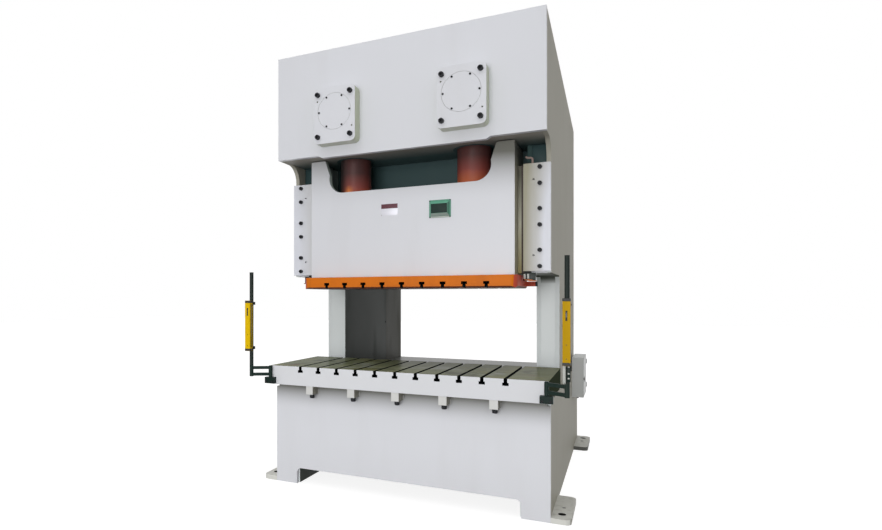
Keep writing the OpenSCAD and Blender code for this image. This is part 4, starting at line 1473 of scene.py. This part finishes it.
class Dressing:
    """Finishes of the CAD nodes, each with the names of the nodes it goes on."""

    NODES: dict[Finish, str] = {
        Finishes.WHITE: "crown_front_plate crown_roof gib_seats",
        Finishes.BASE: "base_front_plate bed_plate",
        Finishes.COVER: "bearing_cover_left bearing_cover_right cover_caps",
        Finishes.LUG: "bolster_lugs",
        Finishes.THROAT: "throat_plates",
        Finishes.GIB: "gib_plate_left gib_plate_right",
        Finishes.FLANK: "side_plate_left side_plate_right base_side_plates",
        Finishes.SIDE: "base_rear_plate column_backs rear_cover",
        Finishes.SLIDE: "slide_body",
        Finishes.FOOT: "foot_plates",
        Finishes.CABINET: "cabinet_box cabinet_door",
        # The plunger bushes take the dark inner paint as painted shade.
        Finishes.INNER: "bearing_wall_front bearing_wall_rear gear_case plunger_bushes",
        Finishes.CEILING: "crown_floor",
        Finishes.COLUMN: "inner_plate_left inner_plate_right",
        Finishes.BRACKET: "curtain_brackets",
        Finishes.ARM: "curtain_arm_left curtain_arm_right",
        Finishes.MOTOR: "motor_housing balancer_cylinders",
        Finishes.BOLSTER: "bolster",
        Finishes.RAIL: "guide_rails",
        Finishes.STEEL: "balancer_rods crank_pins drive_shaft motor_shaft",
        Finishes.PIN: "wrist_pins",
        Finishes.FORGED: "crankshaft_left crankshaft_right main_gear_left main_gear_right "
                         "drive_gear",
        Finishes.BRONZE: "gib_liners bearing_bushes adjusting_nuts",
        Finishes.BLACK: "jack_screws lug_bolts gib_bolts cover_bolts cap_screws",
        Finishes.ORANGE: "slide_plate",
        Finishes.PLUNGER: "connecting_rods plungers",
        Finishes.CURTAIN_LEFT: "sensor_left",
        Finishes.CURTAIN_RIGHT_SHADED: "sensor_right",
        Finishes.GREEN: "display_hood",
    }

    def build(self) -> None:
        """Dress every node."""
        left = set(frame["nodes"])
        for finish, names in self.NODES.items():
            for name in names.split():
                for slot in frame["nodes"][name].material_slots:
                    slot.material = finish.material()
                left.discard(name)
        LOG.info("nodes left plain: %s", sorted(left) or "none")


@dataclass
class FrameWelds:
    """Weld beads where the frame's plates meet.

    Attributes:
        radius: Half the width of a bead.
        pitch: Distance between the ripples.
        seed: Seed of the beads' unevenness.
        inset: How far a bead stops short of a plate's end.
        behind: Distance of the throat's bead from the throat plates' back edge.
        lift: How far a lug's bead starts above the lug's underside.
        lug_pitch: Distance between the bolster's lugs.
        lug_half: Half the width of a lug.
    """
    radius: float = 0.007
    pitch: float = 0.010
    seed: float = 3.0
    inset: float = 0.060
    behind: float = 0.040
    lift: float = 0.004
    lug_pitch: float = 0.450
    lug_half: float = 0.0375

    def lines(self) -> list[list[Point]]:
        """Find where the beads run.

        Returns:
            A line for each bead.
        """
        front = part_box("base_front_plate")
        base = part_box("base_side_plates")
        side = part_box("side_plate_right")
        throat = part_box("throat_plates")
        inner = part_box("inner_plate_right")
        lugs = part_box("bolster_lugs")
        back = throat[1][1] - self.behind
        runs: list[list[Point]] = []
        for _, s in SIDES:
            skin = s * side[1][0]
            runs.append([(skin, base[0][1] + self.inset, base[1][2]),
                         (skin, side[1][1] - self.inset, base[1][2])])
            runs.append([(s * plate[0][0], back, throat[0][2]) for plate in (inner, side)])
        for k in FIVE_LUGS:
            for _, s in SIDES:
                x = k * self.lug_pitch + s * self.lug_half
                runs.append([(x, front[0][1], z) for z in (lugs[0][2] + self.lift, front[1][2])])
        return runs

    def build(self) -> None:
        """Run the beads."""
        weld_tree(Finishes.BEAD).piece(
            "frame_welds", host_lines(self.lines()),
            {"Radius": self.radius, "Pitch": self.pitch, "Seed": self.seed}, "frame", "paint")


@dataclass
class LugTrim:
    """Cap nuts under the bolster's lugs.

    Attributes:
        radius: Radius of a nut.
        height: Its height.
    """
    radius: float = 0.025
    height: float = 0.036

    def build(self) -> None:
        """Build one nut under each lug bolt."""
        low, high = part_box("lug_bolts")
        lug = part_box("bolster_lugs")[0][2]
        middle = (low[1] + high[1]) / 2
        reach = (high[0] - low[0]) / 2 - (high[1] - low[1]) / 2
        spots = [(reach * k / FIVE_LUGS[-1], middle, lug - self.height / 2) for k in FIVE_LUGS]
        screws("lug_nuts", spots, self.radius, self.height, Look.DOWN, "frame")


@dataclass
class SlideTrim:
    """What the slide's front carries: a blank plate and the display's window.

    Attributes:
        plate: Width and height of the blank plate.
        plate_centre: Its place along X and Z.
        skin: Thickness of the blank plate.
        stripe: Distances of the plate's stripe from the plate's sides, middle and top.
        rivet: Distance of a rivet from the plate's edges.
        window: Width and height of the display's window.
        sill: How far the display's sill stands out past the window on each side.
        screw: Place of a display screw from the middle, along X and Z.
    """
    plate: tuple[float, float] = (0.178, 0.120)
    plate_centre: tuple[float, float] = (-0.163, 2.786)
    skin: float = 0.0016
    stripe: Point = (0.004, 0.010, 0.005)
    rivet: float = 0.008
    window: tuple[float, float] = (0.154, 0.088)
    sill: float = 0.012
    screw: tuple[float, float] = (0.098, 0.078)

    def label(self) -> None:
        """Build the blank plate, its stripe and its rivets."""
        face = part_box("slide_body")[0][1]
        x, z = self.plate_centre
        w, h = self.plate[0] / 2, self.plate[1] / 2
        Form().block((x - w, face - self.skin, z - h), (x + w, face - 0.0001, z + h),
                     0.0005).piece("blank_plate", "slide", "paint", Finishes.PLATE)
        aside, over, under = self.stripe
        Form().block((x - w + aside, face - self.skin - 0.0006, z + over),
                     (x + w - aside, face - self.skin + 0.0001, z + h - under), 0.0002).piece(
            "plate_stripe", "slide", "black_oxide", Finishes.STRIPE)
        corners = [(x + s * (w - self.rivet), face - 0.003, z - h + self.rivet)
                   for _, s in SIDES]
        screws("plate_rivets", corners, 0.004, 0.003, Look.FRONT, "slide", "ground_steel",
               Finishes.STEEL)

    def display(self) -> None:
        """Build the display's window, sill and screws."""
        low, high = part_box("display_hood")
        mid_x, mid_z = (low[0] + high[0]) / 2, (low[2] + high[2]) / 2
        w, h = self.window[0] / 2, self.window[1] / 2
        Form().block((mid_x - w, low[1] - 0.0015, mid_z - h),
                     (mid_x + w, low[1] + 0.001, mid_z + h), 0.0007).piece(
            "display_window", "slide", "black_oxide", Finishes.SCREEN)
        # A pale strip below the window paints the reflection on the hood's lower lip.
        Form().block((mid_x - w - self.sill, high[1] - 0.0062, low[2] + 0.0015),
                     (mid_x + w + self.sill, high[1] - 0.0038, low[2] + 0.0115), 0.001).piece(
            "display_sill_reflection", "slide", "green_case", Finishes.PALE)
        spots = [(mid_x + sx * self.screw[0], high[1] - 0.006, mid_z + sz * self.screw[1])
                 for _, sx in SIDES for _, sz in SIDES]
        screws("display_screws", spots, 0.0055, 0.005, Look.FRONT, "slide")

    def build(self) -> None:
        """Build both."""
        self.label()
        self.display()


@dataclass
class GuideTrim:
    """Wipers, dowels, grease blocks and pipes around the gibs.

    Attributes:
        wiper: Width, thickness and depth of a wiper.
        pipe: Radius of a grease pipe.
        block: Width and height of a grease block.
        fitting_in: Distance of the first fitting from the plate's inner edge.
        fitting_step: Distance between fittings.
        pipe_drop: How far below its block the first pipe turns.
        pipe_step: How much lower the next one turns.
        pipe_run: Length of a pipe's level stretch.
        dowel_in: Distance of a dowel from the plate's inner edge.
        dowels: Heights of the dowels above the plate's lower end.
        latch: Place of the column seam's latch along Y and Z.
        elbow_in: Distances of the elbow's lower and upper end from the plate's inner edge.
        elbow_up: Heights of its level stretch and its end above the plate.
    """
    wiper: Point = (0.060, 0.012, 0.030)
    pipe: float = 0.004
    block: tuple[float, float] = (0.108, 0.074)
    fitting_in: float = 0.012
    fitting_step: float = 0.031
    pipe_drop: float = 0.068
    pipe_step: float = 0.008
    pipe_run: float = 0.070
    dowel_in: float = 0.095
    dowels: tuple[float, float] = (0.143, 0.834)
    latch: tuple[float, float] = (0.850, 1.577)
    elbow_in: tuple[float, float] = (0.078, 0.022)
    elbow_up: tuple[float, float] = (0.056, 0.072)

    def pads(self) -> None:
        """Build the wipers above and below each gib, and the grease blocks."""
        wipers, blocks = Form(), Form()
        width, thick, deep = self.wiper
        for side, s in SIDES:
            low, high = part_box(f"gib_plate_{side}")
            inner, back = min(abs(low[0]), abs(high[0])), high[1]
            a, b = span(s, inner + 0.002, inner + 0.002 + width)
            for z in (low[2] - thick, high[2]):
                wipers.block((a, back - deep, z), (b, back + 0.004, z + thick), 0.002)
            top = low[2] - thick - 0.001
            a, b = span(s, inner - 0.002, inner - 0.002 + self.block[0])
            blocks.block((a, low[1] + 0.008, top - self.block[1]), (b, back - 0.001, top), 0.004)
        wipers.piece("gib_wipers", "frame", "black_oxide", Finishes.RUBBER)
        blocks.piece("grease_blocks", "frame", "dark_paint", Finishes.GREASY)

    def pipes(self) -> None:
        """Build the grease fittings, the pipes under them and the gibs' dowels."""
        fittings = Form()
        lines: list[list[Point]] = []
        dowels: list[Point] = []
        for side, s in SIDES:
            low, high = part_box(f"gib_plate_{side}")
            inner, y = min(abs(low[0]), abs(high[0])), low[1] - 0.002
            top = low[2] - self.wiper[1] - 0.001
            for k in range(2):
                x = s * (inner + self.fitting_in + self.fitting_step * k)
                fittings.disc((x, y, top - 0.030), Axis.Z, 0.0095, 0.034, 24, 0.002)
                fittings.disc((x, y, top - 0.050), Axis.Z, 0.0115, 0.012, 6, 0.001)
                end, z = x + s * self.pipe_run, top - self.pipe_drop - self.pipe_step * k
                lines.append([(x, y, top - 0.050), (x, y, z), (end, y, z), (end, y + 0.022, z)])
            dowels += [(s * (inner + self.dowel_in), low[1], low[2] + z) for z in self.dowels]
        fittings.piece("grease_fittings", "frame", "ground_steel", Finishes.PALE)
        pipe_tree(Finishes.COPPER).piece("grease_pipes", host_lines(lines),
                                         {"Radius": self.pipe, "Bend": 0.010}, "frame", "bronze")
        screws("gib_dowels", dowels, 0.005, 0.003, Look.FRONT, "frame")

    def pockets(self) -> None:
        """Build the plates that close the crown above the gibs, and the seam's latches."""
        plates, latches = Form(), Form()
        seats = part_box("gib_seats")
        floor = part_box("crown_floor")[0][2]
        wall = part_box("inner_plate_right")
        for _, s in SIDES:
            a, b = span(s, wall[1][0] + 0.001, seats[1][0] - 0.001)
            plates.block((a, seats[1][1] + 0.004, seats[1][2] - 0.030),
                         (b, seats[1][1] + 0.010, floor - 0.001), 0.001)
            latches.disc((s * (wall[0][0] - 0.002), *self.latch), Axis.X, 0.013, 0.006, 24,
                         0.0015)
            latches.disc((s * (wall[0][0] - 0.005), *self.latch), Axis.X, 0.006, 0.004, 6,
                         0.0005)
        plates.piece("pocket_plates", "frame", "dark_paint", Finishes.INNER)
        latches.piece("seam_latches", "frame", "black_oxide", Finishes.BLACK)

    def elbow(self) -> None:
        """Build the grease elbow on top of the right gib."""
        low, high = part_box("gib_plate_right")
        middle = (low[1] + high[1]) / 2
        near, far = (low[0] + x for x in self.elbow_in)
        level, end = (high[2] + z for z in self.elbow_up)
        line = [(near, middle, high[2] - 0.002), (near, middle, level),
                (far, middle, level), (far, middle, end)]
        pipe_tree(Finishes.BLUSH).piece("grease_elbow", host_lines([line]),
                                        {"Radius": 0.010, "Bend": 0.018}, "frame", "red_paint")

    def build(self) -> None:
        """Build all of it."""
        self.pads()
        self.pipes()
        self.pockets()
        self.elbow()


@dataclass
class CurtainTrim:
    """Caps, light windows, lamps and screws of the light curtain, and a cable connector.

    Attributes:
        cap: Height of an end cap.
        raised: How far the right sensor's upper cap stands above its housing.
        proud: How far a cap stands out of the housing.
        lens: Width of the light window.
        lens_in: Distances of the window from the housing's front and ends.
        lamp: Width and the distances of the upper lamp's ends from the housing's top.
        marks: Heights of the two small lamps above the housing's lower end.
        clamp: Distances of a clamp screw from the housing's back and ends.
        depth: Depth of a sensor's housing.
        post: Radius of a post.
        hinge_screw: Distance of a bracket screw from the arm's hinge.
        cable_in: Distance of the connector from the sensor's middle.
        ribs: Number and step of the ribs at the connector's lower end.
        tail_out: Distance of the connector's bracket from the connector.
        clips: How far below the sensor the bracket's clips sit.
    """
    cap: float = 0.026
    raised: float = 0.024
    proud: float = 0.0015
    lens: float = 0.016
    lens_in: tuple[float, float] = (0.016, 0.034)
    lamp: Point = (0.014, 0.155, 0.075)
    marks: tuple[float, float] = (0.165, 0.055)
    clamp: tuple[float, float] = (0.022, 0.029)
    depth: float = 0.048
    post: float = 0.020
    hinge_screw: float = 0.034
    cable_in: float = 0.018
    ribs: tuple[int, float] = (5, 0.006)
    tail_out: float = 0.032
    clips: Point = (0.010, 0.064, 0.102)

    def sensor(self, side: str, s: int) -> None:
        """Build the trim that rides on one sensor.

        Args:
            side: The side's name.
            s: -1 on the left, 1 on the right.
        """
        body = f"sensor_{side}"
        low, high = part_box(body)
        mid = (low[0] + high[0]) / 2
        y0, y1 = low[1], low[1] + self.depth
        p = self.proud
        crown = high[2] + (self.raised if s > 0 else 0.0)
        caps = Form()
        for z0, z1 in ((low[2], low[2] + self.cap), (crown - self.cap, crown)):
            caps.block((low[0] - p, y0 - p, z0), (high[0] + p, y1 + p, z1), 0.004, 3)
        caps.piece(f"curtain_caps_{side}", body, "black_oxide", Finishes.CAP)
        inner, outer = (high[0], low[0]) if s < 0 else (low[0], high[0])
        a, b = sorted((inner - s * 0.0008, inner + s * 0.003))
        front, end = y0 + self.lens_in[0], self.lens_in[1]
        Form().block((a, front, low[2] + end), (b, front + self.lens, high[2] - end),
                     0.0004).piece(f"curtain_window_{side}", body, "black_oxide", Finishes.LENS)
        lamps = Form()
        width, start, stop = self.lamp
        lamps.block((mid - width / 2, y0 - 0.0007, high[2] - start),
                    (mid + width / 2, y0 + 0.001, high[2] - stop), 0.0003)
        for z, radius, sides in zip(self.marks, (0.006, 0.004), (3, 16)):
            lamps.disc((mid, y0 - 0.0002, low[2] + z), Axis.Y, radius, 0.002, sides)
        lamps.piece(f"curtain_lamps_{side}", body, "black_oxide", Finishes.LENS)
        back, end = self.clamp
        spots = [(outer - s * 0.0005, high[1] - back, z) for z in (low[2] + end, high[2] - end)]
        screws(f"curtain_clamp_screws_{side}", spots, 0.006, 0.006,
               Look.RIGHT if s > 0 else Look.LEFT, body)

    def connector(self) -> None:
        """Build the cable connector under the right sensor, with its bracket and clips."""
        body = "sensor_right"
        low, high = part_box(body)
        x, y, top = (low[0] + high[0]) / 2 - self.cable_in, low[1] + self.depth / 2, low[2]
        plug = Form()
        plug.disc((x, y, top - 0.006), Axis.Z, 0.0135, 0.014, 6, 0.001)
        plug.disc((x, y, top - 0.074), Axis.Z, 0.0115, 0.124, 28, 0.002)
        ribs, step = self.ribs
        for k in range(ribs):
            plug.disc((x, y, top - 0.118 - step * k), Axis.Z, 0.0130, 0.003, 28, 0.001)
        plug.piece("curtain_connector_right", body, "ground_steel", Finishes.PALE)
        plate, back = x + self.tail_out, low[1] + self.depth
        Form().block((plate - 0.014, back - 0.010, top - 0.130),
                     (plate + 0.014, back - 0.004, top + 0.002), 0.0015).piece(
            "curtain_tail_right", body, "dark_paint", Finishes.BRACKET)
        clips = Form()
        for drop in self.clips:
            clips.block((plate - 0.007, back - 0.018, top - drop - 0.006),
                        (plate + 0.007, back - 0.009, top - drop + 0.006), 0.002)
        clips.piece("curtain_clips_right", body, "ground_steel", Finishes.PALE)

    def arm(self, side: str, s: int) -> None:
        """Build the post's cap and the bracket's screws on one side.

        Args:
            side: The side's name.
            s: -1 on the left, 1 on the right.
        """
        low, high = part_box(f"curtain_arm_{side}")
        mid = (high[0] - self.post) if s > 0 else (low[0] + self.post)
        Form().disc((mid, low[1] + self.post, high[2] + 0.0015), Axis.Z, self.post + 0.001,
                    0.005, 40, 0.0015).piece(
            f"post_cap_{side}", f"curtain_{side}", "black_oxide", Finishes.CAP)
        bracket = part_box("curtain_brackets")[0]
        hinge = next(j["pos_m"][0] for j in frame["joints"] if j["name"] == f"curtain_{side}_swing")
        spots = [(hinge + t * self.hinge_screw, bracket[1] - 0.003, bracket[2] + 0.018)
                 for _, t in SIDES]
        screws(f"bracket_screws_{side}", spots, 0.010, 0.010, Look.FRONT, "frame")

    def build(self) -> None:
        """Build both sides, and the connector, which only the right sensor has."""
        for side, s in SIDES:
            self.sensor(side, s)
            self.arm(side, s)
        self.connector()


@dataclass
class CabinetTrim:
    """Lock, seal and cable glands of the electrical cabinet.

    Attributes:
        lock: Radius of the lock's rim.
        handle: Length and width of its handle.
        lock_at: Distances of the lock from the door's front edge and below its middle.
        skin: Depth of the door's skin beyond the hinge's lowest X.
        inset: Distance of the seal from the door's edges.
        hinged: Its distance from the edge with the hinge.
        seal: Width of the seal.
        gland: Distances of the first gland from the box's side and front.
        gland_step: Distance between glands.
    """
    lock: float = 0.014
    handle: tuple[float, float] = (0.060, 0.008)
    lock_at: tuple[float, float] = (0.045, 0.020)
    skin: float = 0.0050
    inset: float = 0.010
    hinged: float = 0.030
    seal: float = 0.008
    gland: tuple[float, float] = (0.055, 0.16)
    gland_step: float = 0.09

    def door(self) -> None:
        """Build the door's lock and seal."""
        low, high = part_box("cabinet_door")
        face = low[0] + self.skin
        y, z = low[1] + self.lock_at[0], (low[2] + high[2]) / 2 - self.lock_at[1]
        tall, wide = (size / 2 for size in self.handle)
        handle = Form()
        handle.disc((face + 0.003, y, z), Axis.X, self.lock, 0.008, 28, 0.002)
        handle.block((face + 0.006, y - wide, z - tall), (face + 0.011, y + wide, z + tall), 0.002)
        handle.piece("cabinet_lock", "door", "black_oxide", Finishes.CAP)
        seal = Form()
        y0, y1 = low[1] + self.inset, high[1] - self.hinged
        z0, z1 = low[2] + self.inset, high[2] - self.inset
        for a, b in (((y0, z0), (y1, z0 + self.seal)), ((y0, z1 - self.seal), (y1, z1)),
                     ((y0, z0), (y0 + self.seal, z1)), ((y1 - self.seal, z0), (y1, z1))):
            seal.block((low[0] - 0.0008, *a), (low[0] + 0.0014, *b), 0.0004)
        seal.piece("cabinet_seal", "door", "black_oxide", Finishes.RUBBER)

    def glands(self) -> None:
        """Build the glands under the box."""
        low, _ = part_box("cabinet_box")
        form = Form()
        for k in range(3):
            x, y = low[0] + self.gland[0], low[1] + self.gland[1] + self.gland_step * k
            form.disc((x, y, low[2] - 0.010), Axis.Z, 0.017, 0.020, 6, 0.001)
            form.disc((x, y, low[2] - 0.026), Axis.Z, 0.013, 0.014, 20, 0.003)
        form.piece("cabinet_glands", "frame", "black_oxide", Finishes.CAP)

    def build(self) -> None:
        """Build both."""
        self.door()
        self.glands()


@dataclass
class RearTrim:
    """Louvres and screws of the rear cover, and the motor's fins and terminal box.

    Attributes:
        rows: Louvre slots in a bank.
        step: Distance between slots.
        bank: Distance of a bank's middle from the machine's.
        first: Height of the lowest slot above the cover's lower edge.
        blade: Sizes and slant of a blade, by the tree's inputs.
        rim: Distance between the cover's screws.
        fins: Number and sizes of the motor's fins, by the tree's inputs.
        terminal: Half the width and length of the terminal box, and its height.
        lid: How far its lid stands out, and the lid's thickness.
    """
    rows: int = 8
    step: float = 0.070
    bank: float = 0.520
    first: float = 0.313
    blade: dict[str, float] = field(default_factory=lambda: {
        "Length": 0.618, "Depth": 0.030, "Thickness": 0.003, "Slant": 0.7})
    rim: float = 0.265
    fins: dict[str, float] = field(default_factory=lambda: {
        "Count": 48, "Ring": 0.232, "Length": 0.44, "Height": 0.018, "Thickness": 0.004})
    terminal: Point = (0.09, 0.10, 0.09)
    lid: tuple[float, float] = (0.006, 0.012)

    def cover(self) -> None:
        """Build the louvre blades and the cover's screws."""
        low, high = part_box("rear_cover")
        spots = [(s * self.bank, high[1] - 0.008, low[2] + self.first + self.step * i)
                 for _, s in SIDES for i in range(self.rows)]
        blade_tree(Finishes.SIDE).piece("rear_louvres", host_points(spots), self.blade,
                                        "frame", "paint")
        rim = [(self.rim * k, high[1] + 0.001, z) for z in (low[2] + 0.03, high[2] - 0.045)
               for k in range(-4, 5)]
        screws("rear_cover_screws", rim, 0.009, 0.008, Look.BACK, "frame")

    def motor(self) -> None:
        """Build the motor's fins and terminal box."""
        low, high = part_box("motor_housing")
        x, y, z = ((a + b) / 2 for a, b in zip(low, high))
        fin_tree(Finishes.MOTOR).piece("motor_fins", host_points([(x, y, z)]), self.fins,
                                       "frame", "motor_casting")
        top = high[2]
        w, d, h = self.terminal
        out, thick = self.lid
        box = Form()
        box.block((x - w, y - d, top - 0.02), (x + w, y + d, top + h), 0.008, 3)
        box.block((x - w - out, y - d - out, top + h - 0.002),
                  (x + w + out, y + d + out, top + h - 0.002 + thick), 0.004)
        box.disc((x + w + 0.015, y, top + 0.035), Axis.X, 0.022, 0.035, 12, 0.002)
        box.piece("motor_terminal_box", "frame", "motor_casting", Finishes.MOTOR)

    def build(self) -> None:
        """Build both."""
        self.cover()
        self.motor()


@dataclass
class Studio:
    """Pale floor, even light and the camera.

    Attributes:
        eye: The camera's place.
        heading: Its turn to the left of +Y, in radians.
        lens: Focal length on a 36 mm wide sensor.
        shift: Shift of the frame along its width and height, as parts of its width.
        ambient: Strength of the light from all round.
        glow: Strength of the floor's own white, which lights nothing.
        half: Half the floor's width.
        pale: The floor's two tones, as grey levels.
    """
    eye: Point = (1.8861, -7.0762, 1.9102)
    heading: float = 0.46091
    lens: float = 24.307
    shift: tuple[float, float] = (0.1311, 0.0376)
    ambient: float = 0.60
    glow: float = 0.86
    half: float = 40.0
    pale: tuple[float, float] = (0.60, 0.63)

    def camera(self) -> None:
        """Set the camera up."""
        data = bpy.data.cameras.new("camera")
        data.sensor_width = 36.0
        data.lens = self.lens
        data.shift_x, data.shift_y = self.shift
        data.clip_end = 200.0
        made = place("camera", data)
        made.location = self.eye
        made.rotation_euler = (math.pi / 2, 0.0, self.heading)
        bpy.context.scene.camera = made

    @staticmethod
    def lamp(name: str, spot: Point, aim: Point, size: float, power: float) -> None:
        """Hang a square soft light.

        Args:
            name: Its name.
            spot: Where it hangs.
            aim: What it points at.
            size: Its width.
            power: Its power in watts.
        """
        data = bpy.data.lights.new(name, "AREA")
        data.shape = "SQUARE"
        data.size = size
        data.energy = power
        made = place(name, data)
        made.location = spot
        made.rotation_euler = (Vector(aim) - Vector(spot)).to_track_quat("-Z", "Y").to_euler()

    @staticmethod
    def seen(own: Graph) -> Value:
        """Tell what is seen from the light on the object.

        Args:
            own: The tree.

        Returns:
            1 for rays from the camera, mirrors and glass, 0 for the rest.
        """
        rays = own.node("ShaderNodeLightPath").outputs
        return (Value(own, rays["Is Camera Ray"]) + Value(own, rays["Is Glossy Ray"])
                + Value(own, rays["Is Transmission Ray"])).clamp()

    def world(self) -> None:
        """Even light from all round, seen as white by the camera and by mirrors."""
        made = bpy.data.worlds.new("studio")
        made.use_nodes = True
        bpy.context.scene.world = made
        own = Graph(made.node_tree)
        own.tree.nodes.clear()
        strength = self.ambient + (1.0 - self.ambient) * self.seen(own)
        sky = own.node("ShaderNodeBackground", {"Color": WHITE_LIGHT, "Strength": strength})
        own.node("ShaderNodeOutputWorld", {0: sky})

    def floor(self) -> None:
        """Pale floor that shows the press's shadow and is white elsewhere."""
        form = Form().block((-self.half, -self.half, -0.02), (self.half, self.half, 0.0))
        made = place("floor", form.skin("floor"))
        own = Surface("pale_floor")
        # The anchor holes are painted on the floor as dark discs with no glow: painted shade.
        hole = anchor_field(own)
        pale = own.blend(own.noise(0.7, detail=3.0), *(srgb(p, p, p) for p in self.pale))
        own.set(Base_Color=own.blend(hole, pale, srgb(0.12, 0.12, 0.12)), Roughness=0.75,
                Specular_IOR_Level=0.1)
        glow = own.node("ShaderNodeEmission", {
            "Color": WHITE_LIGHT, "Strength": self.glow * self.seen(own) * (1.0 - hole)})
        both = own.node("ShaderNodeAddShader", {0: own.shader, 1: glow})
        own.feed(own.output.inputs[0], both)
        made.data.materials.append(own.material)

    def build(self) -> None:
        """Build the studio."""
        settings = bpy.context.scene.view_settings
        settings.view_transform = "Standard"
        self.camera()
        self.world()
        self.floor()
        self.lamp("front_box", spot=(0.2, -14.0, 1.0), aim=(0.0, -1.0, 1.4), size=7.0, power=985.0)
        self.lamp("top_box", spot=(-0.2, -6.0, 8.6), aim=(0.0, -1.2, 1.5), size=4.5, power=60.0)


def main() -> None:
    """Build the press and its studio, logging each piece."""
    logging.basicConfig(level=logging.INFO, format="%(name)s: %(message)s")
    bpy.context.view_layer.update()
    Studio().build()
    for part in (Dressing(), FrameWelds(), LugTrim(), SlideTrim(), GuideTrim(), CurtainTrim(),
                 CabinetTrim(), RearTrim()):
        LOG.info("building %s", type(part).__name__)
        part.build()


if __name__ == "__main__":
    main()
